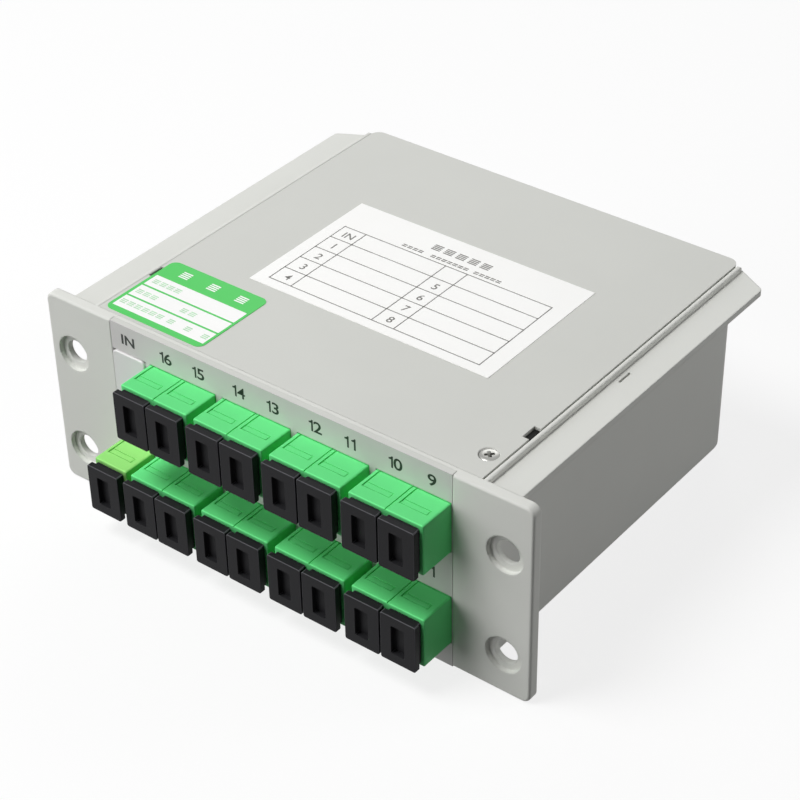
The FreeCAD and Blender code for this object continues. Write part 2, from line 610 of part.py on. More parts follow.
def output_fibres():
    """Sixteen pigtails, the coil they are wound into and the ribbon to the splitter."""
    tails = []
    for z, side in zip(ROWS, (-1, 1)):
        for x in [x for x_mid in PAIR_X for x in port_centres(x_mid, 2)]:
            past_end = max(0, abs(x) - COIL_END)
            reach = sqrt(COIL_MID_R ** 2 - past_end ** 2)
            tails.append(pigtail(x, z, MODULE_Y + side * reach))
    return wound_coil().fuse(tails + [bundle()])


def input_fibre():
    """Single fibre from the input boot, over the coil and into the splitter's left end."""
    x, z = SINGLE_X, ROWS[0]
    end = V(-MODULE_LONG / 2, MODULE_Y, MODULE_Z + MODULE_TALL / 2)
    points = [V(x, BOOT_TAIL, z), V(x, MODULE_Y - 22, z - 0.5), V(x + 2.5, MODULE_Y - 11, z - 2),
              V(x + 6, MODULE_Y - 2.5, z - 4.5), end]
    curve = Part.BSplineCurve()
    curve.interpolate(points, InitialTangent=V(0, 1, 0), FinalTangent=V(1, 0, 0))
    return cord(FIBRE_R, [curve.toShape()])


# ---- dust caps ---------------------------------------------------------------------------------
def dust_cap(x, z):
    """Push-in cap: flange with bevelled edges and a grip pit, neck, hollow plug behind it."""
    seat = ADAPTER_FRONT - CAP_SEAT_GAP
    face = seat - CAP_THICK
    wide, tall = PORT_WIDE / 2 - CAP_INSET, PORT_TALL / 2 - CAP_INSET
    flange = block(x - wide, x + wide, face, face + CAP_FLANGE_THICK, z - tall, z + tall)
    flange = flange.makeChamfer(CAP_BEVEL, edges_on_plane(flange, "y", face))
    wide, tall = wide - CAP_NECK_STEP, tall - CAP_NECK_STEP
    neck = block(x - wide, x + wide, face + CAP_FLANGE_THICK, seat, z - tall, z + tall)
    wide, tall = CAVITY_WIDE / 2 - CAP_PLUG_FIT, CAVITY_TALL / 2 - CAP_PLUG_FIT
    plug_end = seat + CAP_PLUG_LONG
    plug = block(x - wide, x + wide, seat, plug_end, z - tall, z + tall)
    pit = block(x - CAP_PIT_WIDE / 2, x + CAP_PIT_WIDE / 2, face - 1, face + CAP_PIT_DEEP,
                z - CAP_PIT_TALL / 2, z + CAP_PIT_TALL / 2)
    half = HOLDER_R + CAP_HOLLOW_GAP
    hollow = block(x - half, x + half, plug_end - CAP_HOLLOW_DEEP, plug_end + 1,
                   z - half, z + half)
    return flange.fuse([neck, plug]).cut([pit, hollow])


# ---- labels ------------------------------------------------------------------------------------
def seal_label():
    x0, y0 = SEAL_INSET - COVER_HALF - COVER_SHIFT, FRONT + SEAL_AT
    return rounded_block(x0, x0 + SEAL_WIDE, y0, y0 + SEAL_LONG, BODY_HEIGHT,
                         BODY_HEIGHT + LABEL_THICK, SEAL_CORNER_R, "z")


def table_label():
    y0 = FRONT + TABLE_AT
    return block(-TABLE_HALF, TABLE_HALF, y0, y0 + TABLE_LONG, BODY_HEIGHT,
                 BODY_HEIGHT + LABEL_THICK)


# ---- build -------------------------------------------------------------------------------------
def output_ports():
    """Number, x and z of each output port: 1 to 8 in the lower row from the right, 9 to 16 above."""
    ports = []
    for row, z in enumerate(ROWS):
        xs = [x for x_mid in PAIR_X for x in port_centres(x_mid, 2)]
        ports += [(row * len(xs) + k + 1, x, z) for k, x in enumerate(reversed(xs))]
    return ports


def main():
    save("housing", housing())
    save("top_cover", top_cover())
    save("cover_screws", cover_screws())
    save("port_plate", port_plate())
    save("port_film", port_film())
    save("blank_plug", blank_plug())
    save("seal_label", seal_label())
    save("table_label", table_label())

    save("input_adapter", adapter(SINGLE_X, ROWS[0], 1))
    save("input_dust_cap", dust_cap(SINGLE_X, ROWS[0]))
    save("input_connector", connector(SINGLE_X, ROWS[0]))
    ports = output_ports()
    for number, x, z in ports:
        save("dust_cap_%02d" % number, dust_cap(x, z))
    for first in range(0, len(ports), 2):
        pair = ports[first:first + 2]
        name = "%02d_%02d" % (pair[0][0], pair[1][0])
        x_mid, z = (pair[0][1] + pair[1][1]) / 2, pair[0][2]
        save("adapter_" + name, adapter(x_mid, z, 2))
        save("connectors_" + name, Part.makeCompound([connector(x, z) for _, x, z in pair]))

    spots = [(SINGLE_X, ROWS[0])] + [(x, z) for _, x, z in ports]
    for name, make in (("sleeves", sleeve), ("ferrules", ferrule), ("boots", boot)):
        save(name, Part.makeCompound([make(x, z) for x, z in spots]))

    save("splitter_case", module_case())
    save("splitter_pad", module_pad())
    save("input_end_plug", module_end_plug(-1))
    save("output_end_plug", module_end_plug(1))
    save("splitter_chip", module_inner(-CHIP_LONG / 2, CHIP_LONG / 2))
    save("input_fibre_block", module_inner(-CHIP_LONG / 2 - BLOCK_LONG, -CHIP_LONG / 2))
    save("output_fibre_block", module_inner(CHIP_LONG / 2, CHIP_LONG / 2 + BLOCK_LONG))
    save("input_fibre", input_fibre())
    save("output_fibres", output_fibres())


main()
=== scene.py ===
"""Finishes, detailed pieces and a plain studio for a slot-in sixteen-way splitter cassette.

Lengths in the constants are millimetres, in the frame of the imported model: +Z up, the front panel
faces -Y, the origin in the middle of the bottom face.
"""
from math import pi, radians

import bmesh
import bpy
from bpy.props import FloatProperty, FloatVectorProperty, IntProperty, PointerProperty
from mathutils import Matrix, Vector

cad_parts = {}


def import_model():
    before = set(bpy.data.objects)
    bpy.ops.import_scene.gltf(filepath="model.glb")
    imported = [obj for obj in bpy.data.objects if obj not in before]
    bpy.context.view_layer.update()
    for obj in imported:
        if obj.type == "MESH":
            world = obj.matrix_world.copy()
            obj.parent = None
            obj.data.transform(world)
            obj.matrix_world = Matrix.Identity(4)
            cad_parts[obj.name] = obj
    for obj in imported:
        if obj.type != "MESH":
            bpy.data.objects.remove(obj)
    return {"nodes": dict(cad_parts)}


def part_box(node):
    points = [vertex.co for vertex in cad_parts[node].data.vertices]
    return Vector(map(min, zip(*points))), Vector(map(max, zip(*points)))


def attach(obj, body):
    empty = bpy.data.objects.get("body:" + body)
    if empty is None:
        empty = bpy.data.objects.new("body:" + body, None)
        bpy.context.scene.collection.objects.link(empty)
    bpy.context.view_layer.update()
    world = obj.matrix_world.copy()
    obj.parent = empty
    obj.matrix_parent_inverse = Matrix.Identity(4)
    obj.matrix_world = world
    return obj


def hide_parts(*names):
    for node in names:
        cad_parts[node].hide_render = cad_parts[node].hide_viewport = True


bl_info = {
    "name": "Slot-in splitter cassette",
    "version": (1, 0, 0),
    "blender": (4, 5, 0),
    "location": "View3D > Sidebar > Splitter cassette",
    "description": "Finishes and detailed pieces for a moulded sixteen-way splitter cassette",
    "category": "Object",
}

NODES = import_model()["nodes"]
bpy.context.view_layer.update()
CASSETTE = "cassette"
MM = 0.001


def node_box(name):
    """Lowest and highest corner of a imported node, in millimetres."""
    low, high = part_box(name)
    return low / MM, high / MM


def node_middle(name):
    low, high = node_box(name)
    return (low + high) / 2


# ---- sizes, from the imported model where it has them
PAIRS = 4
PORTS = 16
PAIR_LOW, PAIR_HIGH = node_box("adapter_15_16")  # upper left pair
PAIR_STEP = node_box("adapter_13_14")[0].x - PAIR_LOW.x
SEAL_LOW, SEAL_HIGH = node_box("seal_label")
TABLE_LOW, TABLE_HIGH = node_box("table_label")
SCREWS_LOW, SCREWS_HIGH = node_box("cover_screws")
BLANK_LOW, BLANK_HIGH = node_box("blank_plug")
CAP_LOW, CAP_HIGH = node_box("input_dust_cap")
COVER_LOW, COVER_HIGH = node_box("top_cover")

PORT_WIDE = (PAIR_HIGH.x - PAIR_LOW.x) / 2
PORT_TALL = 12.5
FIRST_PAIR_X, _, ROW_HIGH = node_middle("adapter_15_16")
SINGLE_X, _, ROW_LOW = node_middle("input_adapter")
ROW_STEP = ROW_HIGH - ROW_LOW
FACE = node_box("port_film")[0].y  # front face of the panel
FRONT, BACK = PAIR_LOW.y, PAIR_HIGH.y  # ends of the adapters
MIDDLE = (FRONT + BACK) / 2
TOP = COVER_HIGH.z
PAST = 1.0  # how far a cutting shape runs past the face that it cuts

# adapters
EDGE_ROUND = 0.4  # long outer edges
FRONT_ROUND = 0.3  # edges of the front face
FLANGE_START = 2.5  # panel's thickness
FLANGE_THICK = 2.0
FLANGE_ROUND = 0.3
SIDE_WALL = 0.9
END_WALL = 1.7
CAVITY_ROUND = 0.4
PARTITION = 2.0
HOLDER_R = 2.3
HOLDER_OUT = 6.2
SLEEVE_R = 1.6
SLEEVE_BORE_R = 1.28
SLEEVE_INSET = 0.3  # holder's front end to the sleeve's
SLEEVE_BEVEL = 0.12
SEAM_WIDE = 0.26
SEAM_DEEP = 0.35
GROOVE_INSET = 0.9  # groove beside the left edge of each half
GROOVE_WIDE = 0.32
GROOVE_DEEP = 0.3
GROOVE_SHORT = 0.2  # pocket's front edge to the groove's end
POCKET_WIDE = 6.9  # shallow pocket at the groove's front end
POCKET_FRONT = 5.9  # panel's face to the pocket's front and back edges
POCKET_BACK = 4.25
POCKET_DEEP = 0.06
POCKET_ROUND = 0.2
POCKET_LINE = 0.22  # groove around the pocket
POCKET_LINE_DEEP = 0.2
GAP_WIDE = 0.22  # shadow gap in the top face, in front of the panel
GAP_DEEP = 0.25

# plug of the unused port
BLANK_ROUND = 1.2
BLANK_RIM = 0.3
BLANK_WALL = 1.0
BLANK_LIP = 1.0  # thickness of the lips behind the panel

# dust caps
CAP_ROUND = 0.5  # corners of the flange and the neck
CAP_EDGE = 0.2  # rim of its front face
CAP_FLANGE = 1.4
CAP_NECK_INSET = 0.55
CAP_THICK = 2.6
CAP_PLUG_INSET = 0.76  # flange's side to the plug's
CAP_PLUG_INSET_END = 1.56  # and its top to the plug's
CAP_PLUG_ROUND = 0.35
CAP_PLUG_ROOT = 0.5  # how far the plug reaches into the neck
PIT_WIDE = 3.4
PIT_TALL = 7.3
PIT_DEEP = 1.3
PIT_ROUND = 0.25
HOLLOW_HALF = 2.8
HOLLOW_DEEP = 6.8
HOLLOW_ROUND = 0.3

# ---- snap windows in the cover's long edges, and the painted shade blocks under them
LATCH_WIDE = 1.6
LATCH_LONG = 4.3
LATCH_BEHIND = 20.35  # film's face to the middle of a window
LATCH_FLOOR = 0.65  # cover's top to the top of the painted shade block under a window
LATCH_FIT = 0.1
LATCH_ROUND = 0.15

# cover screws
SCREW_CROWN = 0.05  # rise of the head's middle over the cover
SCREW_DROP = 0.16  # cover's top to the head's outer edge
SCREW_ROLL = 0.12  # width of its rolled edge
SCREW_HEAD = 1.2
SCREW_SHANK_R = 1.15
SCREW_TIP_R = 0.6
SCREW_TIP_LONG = 0.4
CROSS_TALL = 1.6  # tapered tool that cuts one arm of the recess
CROSS_SINK = 0.08  # its middle under the cover's top
CROSS_FOOT = 0.42  # its half length below and above, over the head's radius
CROSS_SPAN = 0.95
CROSS_NARROW = 0.34  # its width over its length

# print
PRINT_THICK = 0.012
FONT_CAPITAL = 0.73  # height of the plain font's capitals, over its size
NUMERAL_RISE = 9.76  # middle of a port to the middle of its number
NUMERAL_LIFT = 0.9  # how much further up the lower row's numbers stand
NUMERAL_STRETCH = 1.2  # width of the figures, over that of the plain font
NUMERAL_PITCH = 0.62  # step from figure to figure, over their height
FOUR_WEIGHT = 0.3  # thickening of the 4, over the others': more would close its counter
WORD_HEIGHT = 0.87  # height of the word IN, over that of the numbers
WORD_WEIGHT = 1.5
BAR_SHARE = 0.6  # bar of a mark, over the step from bar to bar

# A row of marks: across and along to the middle of the first, its size, its bars, the number of
# marks and the step. On the small label they count from its left edge and the panel's face.
SEAL_FIELDS = ((14.85, 19.2), (9.9, 14.3), (4.95, 9.35))  # front and back edges of the strips
SEAL_LEFT = 0.85  # label's edges to the strips' ends
SEAL_RIGHT = 0.65
SEAL_TITLE = (6.3, 22.6, 2.6, 4, 3, 8.15)
SEAL_CAPTIONS = ((2.7, 17.0, 1.7, 3, 4, 2.1), (2.4, 12.0, 1.7, 3, 3, 2.1),
                 (15.4, 12.0, 1.7, 3, 2, 2.4), (2.2, 7.2, 1.7, 3, 6, 2.1),
                 (15.9, 7.2, 1.7, 3, 3, 4.9))

# On the table label they count from the cassette's middle and the label's front edge.
TABLE_TITLE = ((-6.3, 34.4, 2.4, 4, 5, 3.35), (-13.0, 31.0, 1.2, 2, 4, 1.5),
               (-5.0, 31.0, 1.2, 2, 7, 1.5), (6.8, 31.0, 1.2, 2, 5, 1.5))
TABLE_LEFT = 3.35  # label's edges to the table's
TABLE_RIGHT = 4.2
TABLE_FRONT = 2.75
TABLE_BACK = 29.45  # label's front edge to the table's back rule
TABLE_COLUMNS = (0, 6.15, 28.6, 34.55)  # upright rules from the first one
FIGURE_RIGHT = 0.3  # middle of a cell to the middle of its figure
FIGURE_DOWN = 0.2
FIGURE_WEIGHT = 0.125  # thickening of the figures, over a rule's width

# studio, in metres
LAMPS = (("key", (-0.29, -0.34, 0.87), 0.45), ("front", (-0.5, -0.72, 0.28), 0.75),
         ("side", (0.7, 0.62, 0.3), 0.4), ("back", (-0.45, 0.78, 0.4), 0.6))  # place, size
LAMP_AIM = Vector((0, 0, 0.03))
FLOOR_HALF = 3
FLOOR_DROP = 0.00005  # keeps the floor clear of the base
FLOOR_BOUNCE = 0.12  # floor's lightness in the light that it throws back
FLOOR_GLOW = 0.8  # part of the seen floor that shines by itself, so that it is white
SENSOR = 36  # millimetres
NEAREST = 0.01  # nearest that the camera sees


# ---- user's settings
def tone(code):
    """sRGB hex code as linear red, green and blue."""
    parts = [int(code[k:k + 2], 16) / 255 for k in (0, 2, 4)]
    return tuple(c / 12.92 if c <= 0.04045 else ((c + 0.055) / 1.055) ** 2.4 for c in parts)


def swatch(name, description, code):
    return FloatVectorProperty(name=name, description=description, default=tone(code),
                               subtype="COLOR", size=3, min=0, max=1)


def amount(name, description, default, **limits):
    return FloatProperty(name=name, description=description, default=default, **limits)


class CassetteFinish(bpy.types.PropertyGroup):
    """Colours of the cassette's plastics, labels and inks."""
    body: swatch("Body", "Moulded housing", "DBDCD7")
    cover: swatch("Cover", "Top cover and port plate", "CFD0CB")
    film: swatch("Port film", "Printed film around the ports", "CFCCCC")
    blank: swatch("Blank", "Plug of the unused port", "DCDBDB")
    adapter: swatch("Adapters", "Sixteen output adapters", "6CE78C")
    input_adapter: swatch("Input adapter", "Adapter of the input port", "98E27C")
    cap: swatch("Dust caps", "Push-in caps", "232325")
    seal: swatch("Seal label", "Printed ground of the small label", "58CD67")
    paper: swatch("Table label", "Paper of the table label", "FEFEFC")
    ink: swatch("Ink", "Port numbers on the film", "1B211D")
    rule: swatch("Rules", "Lines and figures of the table", "6E6D69")
    caption: swatch("Captions", "Pale bars in the small label's fields", "B4DDB8")


class CassettePrint(bpy.types.PropertyGroup):
    """Sizes of what is printed on the film and the labels."""
    numeral: amount("Number height", "Height of the port numbers", 2.85 * MM,
                    unit="LENGTH", min=0.001)
    numeral_weight: amount("Number weight", "Thickening of the strokes", 0.065 * MM,
                           unit="LENGTH", min=0)
    figure: amount("Figure height", "Height of the table's figures", 2.3 * MM,
                   unit="LENGTH", min=0.001)
    rule: amount("Rule width", "Width of the table's lines", 0.27 * MM, unit="LENGTH", min=0)
    rows: IntProperty(name="Table rows", description="Rows of the table", default=5, min=1)


class CassetteStudio(bpy.types.PropertyGroup):
    """Camera and lamps."""
    place: FloatVectorProperty(name="Camera place", description="Where the camera stands",
                               default=(0.2446, -0.3185, 0.30795), subtype="TRANSLATION",
                               unit="LENGTH")
    azimuth: amount("Azimuth", "Turn of the view from straight ahead", radians(38.22),
                    subtype="ANGLE")
    elevation: amount("Elevation", "Height of the view over the horizon", radians(35.69),
                      subtype="ANGLE")
    roll: amount("Roll", "Turn of the picture", radians(-1.05), subtype="ANGLE")
    lens: amount("Lens", "Focal length for a 36 mm sensor", 98.18, min=10)
    key: amount("Key lamp", "Power of the soft box at the upper left", 6.65, unit="POWER", min=0)
    front: amount("Front lamp", "Power of the soft box at the front", 3.65, unit="POWER", min=0)
    side: amount("Side lamp", "Power of the soft box at the back right", 2.3, unit="POWER", min=0)
    back: amount("Back lamp", "Power of the soft box behind the cassette", 2.0, unit="POWER",
                 min=0)
    sky: amount("Sky", "Even light from all sides", 0.05, min=0)


# ---- mesh helpers
SHARP = radians(38)  # edges over this turn are shaded sharp


def add_box(bm, low, high, rounds=(), rim=0.0, segments=3):
    """Adds a closed box between two corners, in millimetres.

    rounds is (axis, radius): the four edges along that axis are rounded. rim rounds the edges of
    the face that looks along -Y.
    """
    def bevel(edges, width):
        return bmesh.ops.bevel(bm, geom=list(edges), offset=width, segments=segments,
                               profile=0.5, affect="EDGES", clamp_overlap=True)

    size = Vector(high) - Vector(low)
    centre = (Vector(high) + Vector(low)) / 2
    made = bmesh.ops.create_cube(bm, size=1, matrix=Matrix.LocRotScale(centre, None, size))
    verts = made["verts"]
    if rounds:
        axis, radius = rounds
        edges = {e for v in verts for e in v.link_edges
                 if abs((e.verts[1].co - e.verts[0].co).normalized()["xyz".index(axis)]) > 0.99}
        made = bevel(edges, radius)
        verts = {v for v in verts if v.is_valid} | set(made["verts"])
    if rim:
        front = low[1]
        edges = {e for v in verts for e in v.link_edges
                 if all(abs(p.co.y - front) < 1e-5 for p in e.verts)}
        bevel(edges, rim)


def turned(bm, outline, axis, steps, closed=False):
    """Adds what an outline of (radius, height) points makes when it turns about an axis."""
    verts = [bm.verts.new((r, *(h * a for a in axis[1:]))) for r, h in outline]
    pairs = list(zip(verts, verts[1:])) + ([(verts[-1], verts[0])] if closed else [])
    edges = [bm.edges.new(pair) for pair in pairs]
    bmesh.ops.spin(bm, geom=verts + edges, axis=axis, angle=2 * pi, steps=steps,
                   use_merge=closed)
    bmesh.ops.remove_doubles(bm, verts=bm.verts, dist=1e-4)


def mesh_of(name, bm):
    """The mesh that a bmesh holds, in its own units."""
    mesh = bpy.data.meshes.new(name)
    bm.to_mesh(mesh)
    bm.free()
    return mesh


def placed(name, data):
    """New object in the scene, with its place in its data."""
    made = bpy.data.objects.new(name, data)
    bpy.context.scene.collection.objects.link(made)
    return made


def move(mesh, x, y, z):
    """Moves a mesh, in millimetres."""
    mesh.transform(Matrix.Translation(Vector((x, y, z)) * MM))


def new_piece(name, fill):
    """Mesh object whose geometry is made by fill(bmesh), in millimetres."""
    bm = bmesh.new()
    fill(bm)
    bmesh.ops.recalc_face_normals(bm, faces=bm.faces)
    bmesh.ops.scale(bm, vec=(MM,) * 3, verts=bm.verts)
    return placed(name, mesh_of(name, bm))


def evaluated_mesh(thing):
    """New mesh of what the object shows, with its modifiers."""
    graph = bpy.context.evaluated_depsgraph_get()
    return bpy.data.meshes.new_from_object(thing.evaluated_get(graph))


def settle(piece):
    """Turns the piece's modifiers into its plain mesh."""
    bpy.context.view_layer.update()
    mesh = evaluated_mesh(piece)
    old = piece.data
    piece.modifiers.clear()
    piece.data = mesh
    mesh.name = piece.name
    if old.users == 0:
        bpy.data.meshes.remove(old)
    return piece


def combine(piece, operation, fill):
    """Cuts what fill(bmesh) makes out of the piece, or joins it on."""
    other = new_piece("tool", fill)
    modifier = piece.modifiers.new("combine", "BOOLEAN")
    modifier.operation = operation
    modifier.solver = "EXACT"
    modifier.object = other
    settle(piece)
    bpy.data.objects.remove(other)


def shade(piece):
    """Smooth shading that keeps flats flat: sharp edges, and normals by the faces' area."""
    mesh = piece.data
    mesh.polygons.foreach_set("use_smooth", [True] * len(mesh.polygons))
    mesh.set_sharp_from_angle(angle=SHARP)
    modifier = piece.modifiers.new("flats", "WEIGHTED_NORMAL")
    modifier.keep_sharp = True
    return settle(piece)


def paint(piece, material):
    piece.data.materials.clear()
    piece.data.materials.append(material)


def hand_over(piece, body=CASSETTE, nodes=()):
    """Puts the piece on its body, and hides the imported nodes that it stands for."""
    if nodes:
        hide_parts(*nodes)
    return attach(piece, body)


# ---- node helpers
def node(tree, kind, inputs=None, **settings):
    """Adds a node with its settings, and fills or links its inputs."""
    made = tree.nodes.new(kind)
    for name, value in settings.items():
        setattr(made, name, value)
    for name, value in (inputs or {}).items():
        if isinstance(value, bpy.types.NodeSocket):
            tree.links.new(value, made.inputs[name])
        else:
            made.inputs[name].default_value = value
    return made


def repeat_tree():
    """Geometry Nodes that lay copies of a piece out in columns and rows."""
    name = "columns and rows"
    if name in bpy.data.node_groups:
        return bpy.data.node_groups[name]
    tree = bpy.data.node_groups.new(name, "GeometryNodeTree")
    for title, kind in (("Piece", "Geometry"), ("Columns", "Int"), ("Rows", "Int"),
                        ("Column Step", "Vector"), ("Row Step", "Vector"), ("Finish", "Material")):
        tree.interface.new_socket(title, in_out="INPUT", socket_type="NodeSocket" + kind)
    tree.interface.new_socket("Copies", in_out="OUTPUT", socket_type="NodeSocketGeometry")
    given = node(tree, "NodeGroupInput").outputs
    copies = given["Piece"]
    for way in ("Column", "Row"):
        line = node(tree, "GeometryNodeMeshLine", {"Count": given[way + "s"],
                                                   "Offset": given[way + " Step"]}, mode="OFFSET")
        laid = node(tree, "GeometryNodeInstanceOnPoints", {"Points": line.outputs["Mesh"],
                                                           "Instance": copies})
        copies = laid.outputs["Instances"]
    real = node(tree, "GeometryNodeRealizeInstances", {"Geometry": copies})
    done = node(tree, "GeometryNodeSetMaterial", {"Geometry": real.outputs["Geometry"],
                                                  "Material": given["Finish"]})
    node(tree, "NodeGroupOutput", {"Copies": done.outputs["Geometry"]})
    return tree


def repeat(piece, finish, columns=1, rows=1, column_step=0.0, row_step=(0, 0, 0)):
    """Lays copies of the piece out along X and along row_step, in millimetres."""
    tree = repeat_tree()
    modifier = piece.modifiers.new("copies", "NODES")
    modifier.node_group = tree
    values = {"Columns": columns, "Rows": rows, "Column Step": (column_step * MM, 0, 0),
              "Row Step": tuple(v * MM for v in row_step), "Finish": finish}
    for item in tree.interface.items_tree:
        if item.in_out == "INPUT" and item.name in values:
            modifier[item.identifier] = values[item.name]
    return settle(piece)


# ---- materials
def surface(name):
    """New material: its tree, its shader and the object's own coordinates."""
    material = bpy.data.materials.new(name)
    material.use_nodes = True
    tree = material.node_tree
    place = node(tree, "ShaderNodeTexCoord").outputs["Object"]
    return material, tree, tree.nodes["Principled BSDF"], place


def clouds(tree, place, size, colour, spread):
    """Noise with clouds of that size in mm, and the colour drifting with it."""
    noise = node(tree, "ShaderNodeTexNoise", {"Vector": place, "Scale": 1000 / size,
                                              "Detail": 3.0, "Roughness": 0.5})
    ramp = node(tree, "ShaderNodeValToRGB", {"Fac": noise.outputs["Fac"]})
    for element, position, side in zip(ramp.color_ramp.elements, (0.3, 0.7), (-1, 1)):
        element.position = position
        element.color = [min(1, c * (1 + side * spread)) for c in colour] + [1]
    return noise.outputs["Fac"], ramp.outputs["Color"]


def relief(tree, height, microns, edge=0.12):
    """Normal of a grain that is so many microns high, over edges softened by so many mm."""
    soft = node(tree, "ShaderNodeBevel", {"Radius": edge * MM}, samples=4)
    return node(tree, "ShaderNodeBump", {"Height": height, "Distance": microns * 1e-6,
                                         "Normal": soft.outputs["Normal"]}).outputs["Normal"]


def light_edges(tree, tint, edge_highlight_gain):
    """The colour, so many times lighter on the rounded edges between a moulding's flat faces.

    This is a painted highlight: it stands in for the light that these rounded edges catch.
    """
    true = node(tree, "ShaderNodeNewGeometry").outputs["True Normal"]
    size = node(tree, "ShaderNodeVectorMath", {0: true}, operation="ABSOLUTE")
    parts = node(tree, "ShaderNodeSeparateXYZ", {0: size.outputs["Vector"]}).outputs
    most = parts["X"]
    for name in ("Y", "Z"):
        most = node(tree, "ShaderNodeMath", {0: most, 1: parts[name]},
                    operation="MAXIMUM").outputs[0]
    factor = node(tree, "ShaderNodeMapRange", {"Value": most, "From Min": 0.99, "From Max": 0.8,
                                               "To Min": 1.0, "To Max": edge_highlight_gain})
    return node(tree, "ShaderNodeVectorMath", {0: tint, 1: factor.outputs["Result"]},
                operation="MULTIPLY").outputs["Vector"]


def dress(tree, shader, colour, rough, normal, **fixed):
    """Links what varies over the surface and sets what doesn't on the shader's own sockets."""
    for name, value in (("Base Color", colour), ("Roughness", rough), ("Normal", normal)):
        if isinstance(value, bpy.types.NodeSocket):
            tree.links.new(value, shader.inputs[name])
        elif value is not None:
            shader.inputs[name].default_value = value
    for name, value in fixed.items():
        shader.inputs[name.replace("_", " ")].default_value = value


def moulded(name, colour, rough, grain=0.6, microns=5.0, spread=0.02, edge=0.12, edge_highlight_gain=1.0,
            shine=0.5):
    """Injection-moulded plastic: satin, a fine eroded grain, faint flow clouds, softened edges.

    The real grain is about 0.1 mm. It is drawn six to nine times as coarse, so that it shows.
    """
    material, tree, shader, place = surface(name)
    drift, tint = clouds(tree, place, 28, colour, spread)
    # painted highlight: with a gain over 1 the rounded edges are drawn lighter, in place of the
    # light that they catch
    if edge_highlight_gain > 1:
        tint = light_edges(tree, tint, edge_highlight_gain)
    gloss = node(tree, "ShaderNodeMapRange", {"Value": drift, "To Min": rough - 0.05,
                                              "To Max": rough + 0.05})
    pits = node(tree, "ShaderNodeTexNoise", {"Vector": place, "Scale": 1000 / grain,
                                             "Detail": 2.0, "Roughness": 0.6})
    dress(tree, shader, tint, gloss.outputs["Result"],
          relief(tree, pits.outputs["Fac"], microns, edge), IOR=1.5, Specular_IOR_Level=shine)
    return material


def label_film(name, colour):
    """Printed polycarbonate film: fine matt grain under a thin even gloss, slightly uneven tint."""
    material, tree, shader, place = surface(name)
    _, tint = clouds(tree, place, 14, colour, 0.05)
    sand = node(tree, "ShaderNodeTexNoise", {"Vector": place, "Scale": 1000 / 0.4, "Detail": 2.0})
    dress(tree, shader, tint, 0.42, relief(tree, sand.outputs["Fac"], 3.0, 0.08), IOR=1.58,
          Specular_IOR_Level=0.3)
    return material


def label_paper(name, colour, rough):
    """Coated label paper: smooth and matt, with fibres of 0.3 by 0.7 mm just felt in it."""
    material, tree, shader, place = surface(name)
    _, tint = clouds(tree, place, 20, colour, 0.012)
    stretch = node(tree, "ShaderNodeMapping", {"Vector": place, "Scale": (1.0, 2.6, 1.0)})
    fibres = node(tree, "ShaderNodeTexNoise", {"Vector": stretch.outputs["Vector"],
                                               "Scale": 1000 / 0.7, "Detail": 4.0})
    dress(tree, shader, tint, rough, relief(tree, fibres.outputs["Fac"], 4.0, 0.05), IOR=1.45,
          Specular_IOR_Level=0.15)
    return material


def ink(name, colour, rough=0.55):
    """Screen-printed ink: flat and dense, a little thinner where the mesh left it."""
    material, tree, shader, place = surface(name)
    drift, tint = clouds(tree, place, 0.9, colour, 0.12)
    dress(tree, shader, tint, rough, relief(tree, drift, 1.0, 0.02), IOR=1.48)
    return material


def plated(name, colour, swell=37.7):
    """Nickel-plated or rolled steel: a clouded shine on a skin that isn't quite flat.

    Its swell runs in rings round the model's middle, so many mm apart.
    """
    material, tree, shader, place = surface(name)
    rings = node(tree, "ShaderNodeTexWave", {"Vector": place, "Scale": 100 * pi / swell,
                                             "Distortion": 2.0, "Detail": 2.0},
                 wave_type="RINGS", rings_direction="Z")
    drift, tint = clouds(tree, place, 2.5, colour, 0.05)
    gloss = node(tree, "ShaderNodeMapRange", {"Value": drift, "To Min": 0.24, "To Max": 0.38})
    dress(tree, shader, tint, gloss.outputs["Result"],
          relief(tree, rings.outputs["Fac"], 1.5, 0.08), Metallic=1.0)
    return material


def fired(name, colour):
    """Ground zirconia: dense white ceramic with a polish, faintly clouded."""
    material, tree, shader, place = surface(name)
    drift, tint = clouds(tree, place, 3, colour, 0.02)
    dress(tree, shader, tint, 0.14, relief(tree, drift, 0.5, 0.05), IOR=2.1)
    return material


def soft_skin(name, colour, rough, grain, microns):
    """Rubber, cable jacket or foam: dull skin with a grain of its own size in mm."""
    material, tree, shader, place = surface(name)
    cells = node(tree, "ShaderNodeTexVoronoi", {"Vector": place, "Scale": 1000 / grain})
    _, tint = clouds(tree, place, 6, colour, 0.05)
    dress(tree, shader, tint, rough, relief(tree, cells.outputs["Distance"], microns, 0.1),
          IOR=1.5, Sheen_Weight=0.1)
    return material


def clear_silica(name, colour):
    """Polished silica: glassy block with a faint tint."""
    material, tree, shader, place = surface(name)
    drift, tint = clouds(tree, place, 4, colour, 0.03)
    dress(tree, shader, tint, 0.05, relief(tree, drift, 0.3, 0.05), IOR=1.46,
          Transmission_Weight=0.7)
    return material


def finish_of(name):
    """The named colour of the user's settings."""
    return tuple(getattr(bpy.context.scene.cassette_finish, name))


